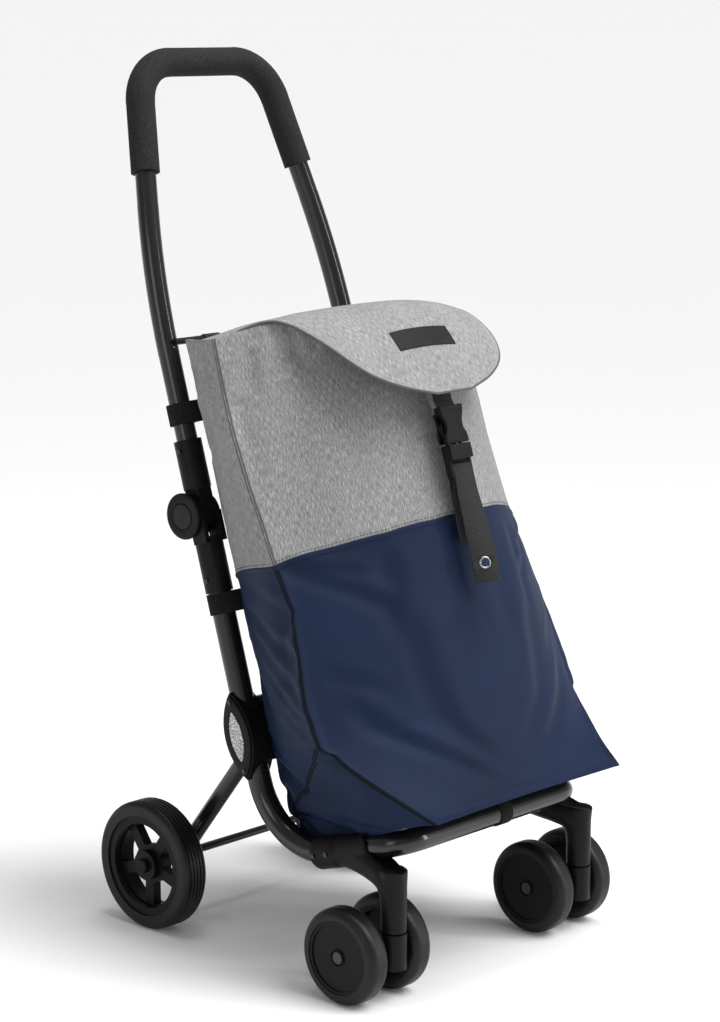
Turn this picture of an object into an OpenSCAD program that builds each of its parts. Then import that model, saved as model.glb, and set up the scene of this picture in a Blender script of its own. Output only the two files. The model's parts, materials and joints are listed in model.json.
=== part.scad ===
// Shopping trolley on wheels: a folding leaning frame with a roomy fabric bag,
// twin-wheel swivel casters in front and large fixed wheels on folding rear legs.
// Millimetres, +Z up, front towards -Y, origin under the middle of the whole trolley.

/* [Stance] */
// Angle that the frame leans back from the vertical
lean_angle = 16.7; // [15:0.1:18]
// Height of the lean frame's zero point above the floor
lean_z = 280; // [276:1:286]
// Place of the lean frame's zero point from front to back
lean_y = 25.2; // [22:0.1:28]

/* [Tubes] */
// Diameter of the main frame tubes
main_tube_d = 28; // [26:1:29]
// Diameter of the handle tube
handle_tube_d = 25; // [22:1:25]
// Diameter of the rear legs
leg_tube_d = 20; // [18:1:20]
// Diameter of the rear axle rod
axle_d = 10; // [8:1:10]
// Diameter of the rod that the bag hangs on
hang_rod_d = 8; // [6:1:8]
// Diameter of the support wire under the bag
wire_d = 6; // [5:1:7]
// Distance from the middle plane to each main tube's axis
tube_x = 152.3; // [151:0.1:154]
// Radius of the bend at the foot of each main tube
foot_bend_r = 93; // [88:1:95]

/* [Handle] */
// Length along the lean from the zero point to the middle of the top bar
handle_top_v = 791; // [780:1:800]
// Outside diameter of the foam grip
grip_d = 34.5; // [32:0.5:36]
// Lean at which each upper tube bends inwards
handle_bend_angle = 10.5; // [8:0.5:11]
// Radius of the grip's two corners
handle_corner_r = 60; // [50:1:70]
// Length along the lean at which the foam starts
grip_start_v = 659; // [640:1:680]

/* [Hinge] */
// Place of the handle hinge along the lean
hinge_v = 250; // [246:1:254]
// Distance of the hinge axis behind the tube axis
hinge_back = 12; // [11:0.5:13]
// Diameter of the hinge casings
casing_d = 33; // [32:0.5:34]
// Diameter of the round hinge cover
cover_d = 55; // [50:1:56]
// Diameter of the release button
button_d = 30; // [24:1:32]
// Travel of the release button
button_travel = 4; // [3:0.5:4]

/* [Rear wheels] */
// Diameter of the rear wheels
rear_wheel_d = 158; // [156:1:160]
// Width of the rear tyres
rear_wheel_w = 35; // [32:1:36]
// Distance from the middle plane to the middle of each rear wheel
rear_wheel_x = 173.3; // [172:0.1:176]
// Place of the rear axle from front to back
rear_axle_y = 169.8; // [165:0.1:175]
// Number of spokes in a rear wheel
spoke_count = 5; // [4:1:6]

/* [Front casters] */
// Diameter of the front wheels
front_wheel_d = 112; // [110:1:112]
// Width of each front wheel
front_wheel_w = 30; // [26:1:30]
// Distance from the middle plane to each caster's swivel axis
caster_x = 165.4; // [164:0.1:167]
// Place of the swivel axis from front to back
caster_y = -219.8; // [-221:0.1:-219]
// Distance that the wheel axle trails behind the swivel axis
caster_trail = 40.7; // [38:0.1:42]
// Distance from a caster's middle to the middle of each of its wheels
twin_offset = 35.6; // [35:0.1:37]
// Diameter of the caster stem
stem_d = 30; // [28:1:30]
// Height of the gap between the stem and the swivelling fork
swivel_z = 83.5; // [82:0.5:85]

/* [Bag] */
// Half the width of the bag at its back
bag_back_half_w = 134; // [132:1:134]
// Thickness of the bag's fabric walls
bag_wall = 3; // [2.5:0.5:4]
// Height along the lean at which the grey fabric meets the navy
bag_join_v = 175; // [160:1:190]
// Width of the black webbing
webbing_w = 30; // [25:1:30]
// Sideways place of the buckle, its webbing and the patch
buckle_x = -10; // [-15:1:15]

/* [Hidden] */

$fn = 64;
black_gloss = [0.06, 0.06, 0.065];
black_matte = [0.11, 0.11, 0.115];
grey_fabric = [0.56, 0.56, 0.57];
navy_fabric = [0.09, 0.14, 0.28];
silver = [0.8, 0.8, 0.82];
fit_gap = 0.05;      // radial gap of a tube in its casing or a pin in its bore
moving_gap = 0.4;    // side gap between parts that turn past each other
base_v = -foot_bend_r - 70;                  // height of the base tubes along the lean
base_end_w = 205;                            // forward reach of the cross tube
base_corner_r = 30;                          // radius of the cross tube's corners
tube_r = main_tube_d / 2;
casing_r = casing_d / 2;
rear_r = rear_wheel_d / 2;
front_r = front_wheel_d / 2;
leg_x = tube_x - tube_r - leg_tube_d / 2 - 1.3;
leg_pivot_v = -15;
pivot_pin_x = 138;
pivot_pin_l = 60;
handle_bend_v = 440;                         // where the handle tube starts to bend inwards
handle_bend_r = 980;                         // radius of that gentle bend
caster_axle_y = caster_y + caster_trail;
front_hub_r = front_r - 13;
collar_r = 19.5;                             // radius of the caster bracket's collar

// A point of the leaning frame: x across, v up along the tubes, w forward of them
function lean_point(x, v, w) = [
    x,
    lean_y + v * sin(lean_angle) - w * cos(lean_angle),
    lean_z + v * cos(lean_angle) + w * sin(lean_angle)
];

// Children drawn with x across, -y forward and z up along the tubes
module lean() {
    translate([0, lean_y, lean_z]) rotate([-lean_angle, 0, 0]) children();
}

module at(x, v, w) {
    translate([x, -w, v]) children();
}

// A cylinder along x, centred on the origin
module rod_x(r, length) {
    rotate([0, 90, 0]) cylinder(r = r, h = length, center = true);
}

// A cylinder forward along w, from the origin
module rod_w(r, length) {
    rotate([90, 0, 0]) cylinder(r = r, h = length);
}

// A disc along x with a rounded rim, centred on the origin
module soft_disc_x(r, thickness, edge) {
    rotate([0, 90, 0]) rotate_extrude() {
        translate([0, -thickness / 2]) square([r - edge, thickness]);
        translate([0, -thickness / 2 + edge]) square([r, thickness - 2 * edge]);
        for (s = [-1, 1]) translate([r - edge, s * (thickness / 2 - edge)]) circle(r = edge);
    }
}

// ---- Main tubes -------------------------------------------------------------------

// The path of a main tube as one solid of radius r: straight side, foot bend and base run
module main_tube_path(side, r, top_v, base_end) {
    at(side * tube_x, -70, 0) cylinder(r = r, h = top_v + 70);
    translate([side * tube_x, -foot_bend_r, -70]) rotate([0, 90, 0])
        rotate_extrude(angle = 90) translate([foot_bend_r, 0]) circle(r = r);
    at(side * tube_x, base_v, foot_bend_r) rod_w(r, base_end - foot_bend_r);
}

module main_tube(side) {
    color(black_gloss) lean() difference() {
        main_tube_path(side, tube_r, 214, 148);
        at(side * tube_x, leg_pivot_v, 0) rod_x(4 + fit_gap, 60);
    }
}

// The path of the front cross tube with its two corners
module cross_tube_path(r, start_w) {
    corner_x = tube_x - base_corner_r;
    corner_w = base_end_w - base_corner_r;
    at(-corner_x, base_v, base_end_w) rotate([0, 90, 0]) cylinder(r = r, h = 2 * corner_x);
    for (side = [-1, 1]) {
        at(side * tube_x, base_v, start_w) rod_w(r, corner_w - start_w);
        at(side * corner_x, base_v, corner_w) rotate([0, 0, side > 0 ? -90 : 180])
            rotate_extrude(angle = 90) translate([base_corner_r, 0]) circle(r = r);
    }
}

module front_cross_tube() {
    color(black_gloss) lean() cross_tube_path(tube_r, 148.2);
}

module support_wire() {
    color(black_gloss) lean() {
        at(0, -180, 108) rod_x(wire_d / 2, 2 * (tube_x - 6));
    }
}

// ---- Handle hinge ----------------------------------------------------------------

cheek_r = 24;
tongue_half_w = 10;
cover_gap = 0.35;    // how far the cover stands off the casings that turn past it

module at_hinge(side) {
    at(side * tube_x, hinge_v, -hinge_back) children();
}

// The rounded cheek discs and webs that carry the pin
module lower_cheeks(side) {
    cheek_w = casing_r + cover_gap - tongue_half_w - moving_gap;
    cheek_x = tongue_half_w + moving_gap + cheek_w / 2;
    for (s = [-1, 1]) {
        at_hinge(side) translate([s * cheek_x, 0, 0]) rod_x(cheek_r, cheek_w);
        at(side * tube_x + s * cheek_x - cheek_w / 2, 214, 14)
            cube([cheek_w, 22, hinge_v - 214]);
    }
}

module hinge_lower_casing(side) {
    color(black_matte) lean() difference() {
        union() {
            at(side * tube_x, 155, 0) cylinder(r = casing_r, h = 66);
            lower_cheeks(side);
        }
        at(side * tube_x, 150, 0) cylinder(r = tube_r + fit_gap, h = 64.05);
        at_hinge(side) rod_x(6 + fit_gap, 60);
        at_hinge(side) translate([side * 14.5, 0, 0]) rotate([0, side * 90, 0])
            cylinder(r = button_d / 2 + 0.5, h = 10);
        at(side * tube_x, 170, -casing_r) rod_w(3.1, 4);
    }
}

module hinge_upper_casing(side) {
    color(black_matte) lean() difference() {
        union() {
            at(side * tube_x, 279, 0) cylinder(r = casing_r, h = 58);
            at_hinge(side) rod_x(cheek_r - 0.5, 2 * tongue_half_w);
            at(side * tube_x - tongue_half_w, hinge_v, 12) cube([2 * tongue_half_w, 24, 30]);
        }
        at(side * tube_x, 284, 0) cylinder(r = handle_tube_d / 2 + fit_gap, h = 60);
        at_hinge(side) rod_x(6 + fit_gap, 60);
    }
}

module hinge_pins() {
    color(silver) lean() for (side = [-1, 1]) at_hinge(side) difference() {
        rod_x(6, 28.4);
        translate([side * 9, 0, 0]) rotate([0, side * 90, 0]) cylinder(r = 4.2, h = 6);
    }
}

module hinge_covers() {
    color(black_matte) lean() for (side = [-1, 1]) at_hinge(side)
        translate([side * (casing_r + cover_gap + 2.8), 0, 0]) difference() {
            soft_disc_x(cover_d / 2, 5.5, 2);
            rod_x(button_d / 2 + 0.5, 10);
        }
}

module release_button(side) {
    color(black_matte) lean() at_hinge(side) {
        translate([side * (casing_r + 4.6), 0, 0]) soft_disc_x(button_d / 2, 4.4, 1.2);
        translate([side * (casing_r + 0.8), 0, 0]) rod_x(3.4, 4);
    }
}

module button_spring(side) {
    turns = 4;
    color(silver) lean() at_hinge(side) for (i = [0 : turns - 1])
        translate([side * (10 + i * 1.25), 0, 0]) rotate([0, 90, 0])
            rotate_extrude() translate([3.2, 0]) circle(r = 0.6, $fn = 24);
}

// ---- Leg housing with its reflector ----------------------------------------------

housing_half_l = 52;
housing_half_w = 23;

// Pointed oval outline with round ends, across w and along v
module housing_outline(grow = 0) {
    big_r = (housing_half_l * housing_half_l + housing_half_w * housing_half_w)
        / (2 * housing_half_w);
    offset_w = big_r - housing_half_w;
    intersection() {
        translate([offset_w, 0]) circle(r = big_r + grow, $fn = 96);
        translate([-offset_w, 0]) circle(r = big_r + grow, $fn = 96);
    }
    for (s = [-1, 1]) translate([0, s * 41]) circle(r = 8 + grow);
}

// Extrudes a w-v outline along x from x0 to x1
module extrude_x(x0, x1) {
    translate([x0, 0, 0]) rotate([90, 0, 90]) linear_extrude(height = x1 - x0) children();
}

module leg_housing(side) {
    color(black_matte) lean() difference() {
        union() {
            at(side * tube_x, leg_pivot_v, 0) {
                extrude_x(-14, side > 0 ? 19 : 14) housing_outline();
                if (side < 0) extrude_x(-19, 14) housing_outline();
                extrude_x(side > 0 ? 18 : -21.5, side > 0 ? 21.5 : -18) housing_outline(-2.5);
            }
            // Bridge over the leg's end, front wall and inner cheek
            at(side > 0 ? 110 : -140, -3, 16) cube([30, 30, 29]);
            at(side > 0 ? 110 : -140, -50, 16) cube([30, 4.5, 76]);
            at(side > 0 ? 110 : -114.5, -33, 16) cube([4.5, 28, 36]);
        }
        main_tube_path(side, tube_r + fit_gap, 150, 120);
        at(side * pivot_pin_x, leg_pivot_v, 0) rod_x(4 + fit_gap, pivot_pin_l + 0.2);
        at(side * (tube_x + 20), leg_pivot_v, 0) lens_pocket(side, 0.3);
    }
}

// The tall oval of the reflector, across w and along v
module lens_outline(grow) {
    intersection() {
        translate([40, 0]) circle(r = 50 + grow, $fn = 96);
        translate([-40, 0]) circle(r = 50 + grow, $fn = 96);
    }
}

module lens_pocket(side, grow) {
    extrude_x(side > 0 ? 0 : -4, side > 0 ? 4 : 0) lens_outline(grow);
}

module reflector_lenses() {
    color(silver) lean() for (side = [-1, 1]) at(side * (tube_x + 20), leg_pivot_v, 0)
        extrude_x(side > 0 ? 0 : -2.4, side > 0 ? 2.4 : 0) lens_outline(0);
}

module leg_pivot_pins() {
    color(silver) lean() for (side = [-1, 1])
        translate([side * pivot_pin_x, 0, leg_pivot_v]) rod_x(4, pivot_pin_l);
}

// ---- Rear legs and wheels --------------------------------------------------------

leg_top = lean_point(0, leg_pivot_v, 0);
leg_run = [rear_axle_y - leg_top[1], rear_r - leg_top[2]];
leg_length = norm(leg_run);
leg_tilt = atan2(leg_run[0], -leg_run[1]);
hub_half_w = 14;
tyre_depth = 17;     // how deep the rear tyre sits round its rim
cap_x = rear_wheel_x + hub_half_w + 3.4;

module rear_leg(side) {
    color(black_gloss) translate([side * leg_x, leg_top[1], leg_top[2]])
        rotate([leg_tilt, 0, 0]) difference() {
            union() {
                translate([0, 0, -leg_length]) cylinder(r = leg_tube_d / 2, h = leg_length);
                intersection() {
                    sphere(r = leg_tube_d / 2);
                    translate([-20, -20, 0]) cube(40);
                }
                translate([0, 0, -leg_length]) rod_x(leg_tube_d / 2 + 1, leg_tube_d);
            }
            rod_x(4 + fit_gap, 60);
            translate([0, 0, -leg_length]) rod_x(axle_d / 2 + fit_gap, 60);
        }
}

module rear_axle() {
    color(black_gloss) translate([0, rear_axle_y, rear_r]) rod_x(axle_d / 2, 2 * (cap_x - 0.2));
}

module axle_caps() {
    color(black_matte) for (side = [-1, 1])
        translate([side * cap_x, rear_axle_y, rear_r]) difference() {
            soft_disc_x(9, 6, 2);
            translate([side * -2, 0, 0]) rod_x(axle_d / 2 + fit_gap, 4);
        }
}

// Half the section of a rear tyre: round shoulders and circumferential grooves
module rear_tyre_section() {
    half = rear_wheel_w / 2;
    groove_pitch = 5.2;
    shoulder = 7;
    difference() {
        union() {
            translate([rear_r - tyre_depth, -half]) square([tyre_depth - shoulder, 2 * half]);
            translate([rear_r - tyre_depth, -half + shoulder])
                square([tyre_depth, 2 * half - 2 * shoulder]);
            for (s = [-1, 1]) translate([rear_r - shoulder, s * (half - shoulder)])
                circle(r = shoulder);
        }
        for (i = [-2 : 2]) translate([rear_r - 1.6, i * groove_pitch - 0.8]) square([3, 1.6]);
    }
}

module at_rear_wheel(side) {
    translate([side * rear_wheel_x, rear_axle_y, rear_r]) children();
}

module rear_tyre(side) {
    color(black_matte) at_rear_wheel(side) rotate([0, 90, 0])
        rotate_extrude($fn = 96) rear_tyre_section();
}

// Window between two spokes, in the wheel's own plane
module spoke_window() {
    spread = 360 / spoke_count;
    inner_r = 24;
    outer_r = 50;
    half_spoke = 7;
    intersection() {
        difference() {
            circle(r = outer_r);
            circle(r = inner_r);
        }
        polygon([
            for (s = [-1, 1]) for (r = s < 0 ? [18, 70] : [70, 18])
                [r * cos(s * spread / 2) + half_spoke * sin(spread / 2),
                 r * sin(s * spread / 2) - s * half_spoke * cos(spread / 2)]
        ]);
    }
}

module rear_rim(side) {
    spread = 360 / spoke_count;
    half = rear_wheel_w / 2;
    color(black_matte) at_rear_wheel(side) rotate([90, 0, 90]) difference() {
        rotate_extrude($fn = 96) {
            translate([52, -half + 2]) square([rear_r - tyre_depth - 52, 2 * half - 4]);
            translate([8, -6]) square([46, 12]);
            translate([axle_d / 2 + 0.08, -hub_half_w]) square([13, 2 * hub_half_w]);
        }
        for (i = [0 : spoke_count - 1]) rotate([0, 0, 90 + spread * i])
            translate([0, 0, -20]) linear_extrude(height = 40) spoke_window();
    }
}

// ---- Front casters ---------------------------------------------------------------

module at_caster(side) {
    translate([side * caster_x, caster_y, 0]) children();
}

// Neck of the bracket, blending the tube sleeve into the upright stem
module bracket_neck(side) {
    hull() {
        lean() at(side * tube_x, base_v, 112) rod_w(17.5, 50, $fn = 32);
        at_caster(side) translate([0, 0, 122]) cylinder(r = stem_d / 2, h = 30, $fn = 32);
    }
}

module caster_bracket(side) {
    stem_top = 150;
    color(black_matte) difference() {
        union() {
            lean() at(side * tube_x, base_v, 75) rod_w(18, 90);
            lean() at(side * tube_x, base_v, 75) rod_w(collar_r, 36);
            bracket_neck(side);
            at_caster(side) translate([0, 0, swivel_z + 0.6])
                cylinder(r = stem_d / 2, h = stem_top - swivel_z);
            lean() at(side * (tube_x - 22), base_v - 6, 78) rod_w(4, 12);
        }
        lean() main_tube_path(side, tube_r + fit_gap, 0, 148.1);
        lean() cross_tube_path(tube_r + fit_gap, 148);
        lean() at(side * tube_x, base_v, 172) rotate([90, 0, 0]) cylinder(r = 40, h = 60);
        at_caster(side) cylinder(r = 6 + fit_gap, h = 132);
    }
}

module caster_fork(side) {
    arm_w = 26;
    boss_r = 13;
    color(black_matte) at_caster(side) difference() {
        union() {
            translate([0, 0, 42]) cylinder(r = stem_d / 2, h = swivel_z - 42);
            translate([0, caster_trail, front_r]) rod_x(boss_r, arm_w);
            translate([-arm_w / 2, 0, front_r - boss_r]) cube([arm_w, caster_trail, 2 * boss_r]);
            cylinder(r = 6, h = 131);
        }
        translate([0, caster_trail, front_r]) rod_x(4 + fit_gap, 60);
        translate([-20, -20, -1]) cube([40, 40, 43]);
    }
}

module caster_axle(side) {
    reach = twin_offset + front_wheel_w / 2 - 3.7;
    color(silver) translate([side * caster_x, caster_axle_y, front_r]) {
        rod_x(4, 2 * reach);
        for (s = [-1, 1]) translate([s * (reach + 1.2), 0, 0]) rod_x(7, 2.4);
    }
}

module at_front_wheel(side, offset_side) {
    translate([side * caster_x + offset_side * twin_offset, caster_axle_y, front_r]) children();
}

// A front wheel's solid hub with a shallow dish and a raised ring on its outer face
module front_hub(side, offset_side) {
    half = front_wheel_w / 2;
    bore_r = 4.08;
    color(black_matte) at_front_wheel(side, offset_side) rotate([0, offset_side * 90, 0])
        rotate_extrude($fn = 96) difference() {
            translate([bore_r, -half + 1]) square([front_hub_r - bore_r, 2 * half - 2]);
            translate([10, half - 2.6]) square([front_hub_r - 14, 3]);
            translate([12, -half]) square([front_hub_r - 17, 9]);
            translate([0, half - 4]) square([9, 5]);
        }
}

// A front tyre is a broad round band on its hub
module front_tyre(side, offset_side) {
    half = front_wheel_w / 2;
    shoulder = 10;
    color(black_gloss) at_front_wheel(side, offset_side) rotate([0, 90, 0])
        rotate_extrude($fn = 96) difference() {
            union() {
                translate([front_hub_r, -half]) square([front_r - front_hub_r - shoulder, 2 * half]);
                translate([front_hub_r, -half + shoulder])
                    square([front_r - front_hub_r, 2 * half - 2 * shoulder]);
                for (s = [-1, 1]) translate([front_r - shoulder, s * (half - shoulder)])
                    circle(r = shoulder);
            }
            translate([0, -half]) square([front_hub_r, 2 * half]);
        }
}

// ---- Fasteners -------------------------------------------------------------------

module pan_head(r, h) {
    cylinder(r = r, h = h);
    translate([0, 0, h]) cylinder(r = r - 0.8, h = 0.6);
}

module frame_screws() {
    color(silver) lean() for (side = [-1, 1]) {
        // Housing screws at the top and the bottom of the oval
        for (v = [leg_pivot_v - 41, leg_pivot_v + 41])
            at(side * (tube_x + 21.5), v, 0) rotate([0, side * 90, 0]) pan_head(3.2, 1);
        // Rivet in the lower casing
        at(side * (tube_x + casing_r), hinge_v - 80, 0) rotate([0, side * 90, 0])
            pan_head(3, 1);
        // Screws in the bracket's collar
        for (w = [82, 103]) at(side * (tube_x + collar_r), base_v, w)
            rotate([0, side * 90, 0]) pan_head(3, 1);
    }
}

module casing_rivets() {
    color(silver) lean() for (side = [-1, 1])
        at(side * (tube_x + casing_r), 325, 0) rotate([0, side * 90, 0]) pan_head(3, 1);
}

// ---- Straps ----------------------------------------------------------------------

// A fabric band round a tube, with a flat tab towards the bag's back corner
module tube_strap(side, v, r, band_w, tab_w) {
    at(side * tube_x, v, 0) difference() {
        union() {
            cylinder(r = r + 2, h = band_w);
            translate([side > 0 ? -18 : 0, -tab_w, 0]) cube([18, tab_w, band_w]);
        }
        translate([0, 0, -1]) cylinder(r = r + fit_gap, h = band_w + 2);
    }
}

module lower_straps() {
    color(black_matte) lean() for (side = [-1, 1])
        tube_strap(side, 129, tube_r, 25, 16);
}

module upper_straps() {
    color(black_matte) lean() for (side = [-1, 1])
        tube_strap(side, 356, handle_tube_d / 2, 25, 15);
}

module base_strap() {
    color(black_matte) lean() at(6, base_v, base_end_w) rotate([0, 90, 0]) difference() {
        cylinder(r = tube_r + 2, h = 20);
        translate([0, 0, -1]) cylinder(r = tube_r + fit_gap, h = 22);
    }
}

module hang_loops() {
    rod_v = 452;
    rod_w_pos = 15;
    color(black_matte) lean() for (x = [-95, 0, 95]) {
        at(x - 12.5, rod_v, rod_w_pos) rotate([0, 90, 0]) difference() {
            cylinder(r = hang_rod_d / 2 + 1.2, h = 25);
            translate([0, 0, -1]) cylinder(r = hang_rod_d / 2 + fit_gap, h = 27);
        }
        at(x - 12.5, rod_v - 34, 16.6) cube([25, 1.4, 30]);
    }
}

// ---- Bag -------------------------------------------------------------------------

bag_back_w = 18;
bag_rim_v = 430;
bag_floor_v = -140;
front_power = 1.9;
// Cross-sections up the lean: height v, side seam x and w, front centre w, back fold x and w
bag_sections = [
    [-140, 168, 266, 258, 135, 64],
    [-110, 182, 244, 264, 135, 34],
    [-85, 195, 225, 266, 136, 28],
    [-60, 209, 206, 268, 140, 28],
    [-20, 220, 186, 270, 146, 36],
    [20, 222, 178, 271, 152, 44],
    [60, 218, 176, 272, 154, 50],
    [120, 210, 172, 272, 156, 56],
    [175, 207, 162, 271, 158, 58],
    [230, 207, 155, 270, 158, 58],
    [270, 209, 149, 268, 158, 56],
    [330, 211, 142, 264, 158, 56],
    [380, 208, 138, 252, 158, 56],
    [430, 201, 134, 238, 156, 54]
];
front_steps = 10;

function section_at(v, i = 0) =
    i >= len(bag_sections) - 2 || v <= bag_sections[i + 1][0]
        ? let(a = bag_sections[i], b = bag_sections[i + 1], t = (v - a[0]) / (b[0] - a[0]))
            a + t * (b - a)
        : section_at(v, i + 1);

// Outline of the bag at a section, shrunk by inset, as lean-frame points
function bag_outline(s, inset) =
    let(
        xs = s[1] - inset * 1.2, ws = s[2] - inset * 0.2, wf = s[3] - inset,
        back = bag_back_w + inset, half = bag_back_half_w - inset * 1.3
    )
    concat(
        [[-half, -back, s[0]], [-(s[4] - inset * 1.2), -s[5] - inset * 0.5, s[0]]],
        [for (i = [0 : 2 * front_steps])
            let(x = -xs + xs * i / front_steps,
                w = wf + (ws - wf) * pow(abs(x) / xs, front_power))
            [x, -w, s[0]]],
        [[s[4] - inset * 1.2, -s[5] - inset * 0.5, s[0]], [half, -back, s[0]]]
    );

// A closed skin through a list of outlines that have the same number of points
module loft(rings) {
    n = len(rings[0]);
    last = len(rings) - 1;
    polyhedron(
        points = [for (ring = rings) each ring],
        faces = concat(
            [[for (i = [0 : n - 1]) i]],
            [for (k = [0 : last - 1]) for (i = [0 : n - 1])
                let(a = k * n + i, b = k * n + (i + 1) % n)
                [a, a + n, b + n]],
            [for (k = [0 : last - 1]) for (i = [0 : n - 1])
                let(a = k * n + i, b = k * n + (i + 1) % n)
                [a, b + n, b]],
            [[for (i = [n - 1 : -1 : 0]) last * n + i]]
        )
    );
}

// The bag between two heights, solid, shrunk by inset
module bag_solid(v0, v1, inset) {
    heights = concat([v0], [for (s = bag_sections) if (s[0] > v0 && s[0] < v1) s[0]], [v1]);
    loft([for (v = heights)
        let(s = section_at(v))
        bag_outline([v, s[1], s[2], s[3], s[4], s[5]], inset)]);
}

module bag_upper_panel() {
    color(grey_fabric) lean() difference() {
        bag_solid(bag_join_v, bag_rim_v, 0);
        bag_solid(bag_join_v - 1, bag_rim_v + 1, bag_wall);
    }
}

module bag_lower_panel() {
    color(navy_fabric) lean() difference() {
        bag_solid(bag_floor_v, bag_join_v, 0);
        bag_solid(bag_floor_v + bag_wall, bag_join_v + 1, bag_wall);
    }
}

module bag_base_board() {
    color(black_matte) lean() at(-122, bag_floor_v + bag_wall + 0.3, 245)
        cube([244, 205, 3]);
}

// ---- Flap ------------------------------------------------------------------------

// Rows of the flap from its hinge to its tip:
// centre w and v, then half-width, w and v at the side edge
flap_rows = [
    [24, 447, 132, 24, 443],
    [80, 456, 166, 80, 437],
    [134, 454, 197, 132, 434],
    [174, 451, 160, 171, 444],
    [206, 448, 144, 197, 434],
    [236, 442, 137, 222, 414],
    [255, 420, 132, 243, 397],
    [268, 391, 123, 262, 378],
    [281, 358, 104, 280, 354],
    [291, 334, 68, 293, 333],
    [295, 323, 24, 296, 323]
];
flap_thick = 2.4;
flap_steps = 6;

function flap_row(row, drop) = [
    for (i = [-flap_steps : flap_steps])
        let(u = i / flap_steps, e = pow(abs(u), 2))
        [u * row[2], -(row[0] + e * (row[3] - row[0])) + drop[0],
            row[1] + e * (row[4] - row[1]) - drop[1]]
];

// Inward offset of each row, square to the centre line
function flap_drop(k) =
    let(
        a = flap_rows[max(k - 1, 0)], b = flap_rows[min(k + 1, len(flap_rows) - 1)],
        d = [b[0] - a[0], b[1] - a[1]] / norm([b[0] - a[0], b[1] - a[1]])
    )
    [-d[1] * flap_thick, d[0] * flap_thick];

module flap() {
    rings = [for (k = [0 : len(flap_rows) - 1]) concat(
        flap_row(flap_rows[k], [0, 0]),
        [for (i = [2 * flap_steps : -1 : 0]) flap_row(flap_rows[k], flap_drop(k))[i]])];
    color(grey_fabric) lean() loft(rings);
}

// The patch is a flat plate that lies on the sloping front of the flap
module flap_patch() {
    patch_w = 97;
    patch_h = 28;
    slope = 22.8;
    color(black_matte) lean() at(buckle_x, 391, 268) rotate([-slope, 0, 0])
        translate([-patch_w / 2, -2.4, -patch_h / 2]) cube([patch_w, 1.8, patch_h]);
}

// ---- Buckle and webbing ----------------------------------------------------------

module at_buckle() {
    lean() translate([buckle_x, 0, 0]) children();
}

module webbing(v0, v1, w0, thickness) {
    at(-webbing_w / 2, v0, w0 + thickness) cube([webbing_w, thickness, v1 - v0]);
}

module flap_webbing() {
    color(black_matte) at_buckle() webbing(308.2, 336, 276, 2);
}

module buckle_female() {
    color(black_matte) at_buckle() difference() {
        union() {
            at(-19, 264, 290) cube([38, 16, 32]);
            at(-17, 296, 288) cube([34, 12, 12]);
        }
        at(-14.5, 262, 287) cube([29, 20, 31]);
        at(-12.5, 300, 290) cube([25, 30, 5]);
    }
}

module buckle_male() {
    color(black_matte) at_buckle() {
        difference() {
            at(-18, 225, 289) cube([36, 13, 38]);
            for (v = [230, 242]) at(-15.5, v, 290) cube([31, 30, 7]);
        }
        for (x = [-13.5, 8.5]) at(x, 263, 286) cube([5, 8, 26]);
        at(-3, 263, 286) cube([6, 8, 22]);
    }
}

module strap_tail() {
    color(black_matte) at_buckle() difference() {
        union() {
            webbing(102, 224.6, 284, 2);
            webbing(102, 112, 282, 2);
        }
        at(0, 124.5, 280) rod_w(5.6, 12);
    }
}

module eyelet() {
    color(silver) at_buckle() at(0, 124.5, 283.4) rotate([90, 0, 0]) difference() {
        union() {
            cylinder(r = 5.6, h = 3.2);
            translate([0, 0, 2.6]) cylinder(r = 8.5, h = 1);
            cylinder(r = 8.5, h = 0.6);
        }
        translate([0, 0, -1]) cylinder(r = 5, h = 6);
    }
}

module buckle_anchor_webbing() {
    color(black_matte) at_buckle() webbing(150, 262, 272.6, 1.8);
}

// ---- Handle ----------------------------------------------------------------------

bend_in_x = handle_bend_r * (1 - cos(handle_bend_angle));
bend_end_v = handle_bend_v + handle_bend_r * sin(handle_bend_angle);
corner_v = handle_top_v - handle_corner_r;
slope_end_v = corner_v + handle_corner_r * sin(handle_bend_angle);
slope_start_x = tube_x - bend_in_x;
slope_end_x = slope_start_x - (slope_end_v - bend_end_v) * tan(handle_bend_angle);
corner_x = slope_end_x - handle_corner_r * cos(handle_bend_angle);

bend_extra = 0.2;    // how much fatter a bend is than its straight runs

// The sloping runs, the corners and the top bar, from height v0 up; each straight run
// reaches a lap into the bend beside it
module handle_upper_path(r, v0, lap = 1) {
    start_x = slope_start_x - (v0 - bend_end_v) * tan(handle_bend_angle);
    length = (slope_end_v - v0) / cos(handle_bend_angle);
    for (side = [-1, 1]) {
        at(side * start_x, v0, 0) rotate([0, -side * handle_bend_angle, 0])
            translate([0, 0, -lap]) cylinder(r = r, h = length + 2 * lap);
        at(side * corner_x, corner_v, 0) mirror([side < 0 ? 1 : 0, 0, 0])
            rotate([90, 0, 0]) rotate([0, 0, handle_bend_angle])
                rotate_extrude(angle = 90 - handle_bend_angle)
                    translate([handle_corner_r, 0]) circle(r = r + bend_extra);
    }
    at(0, handle_top_v, 0) rod_x(r, 2 * (corner_x + lap));
}

module handle_tube() {
    r = handle_tube_d / 2;
    color(black_gloss) lean() difference() {
        union() {
            for (side = [-1, 1]) {
                at(side * tube_x, 284.1, 0)
                    cylinder(r = r, h = handle_bend_v - 284.1 + 1);
                at(side * (tube_x - handle_bend_r), handle_bend_v, 0)
                    mirror([side < 0 ? 1 : 0, 0, 0]) rotate([90, 0, 0])
                        rotate_extrude(angle = handle_bend_angle)
                            translate([handle_bend_r, 0]) circle(r = r + bend_extra);
            }
            handle_upper_path(r, bend_end_v);
        }
        at(0, 452, 15) rod_x(hang_rod_d / 2 + fit_gap, 400);
    }
}

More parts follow.
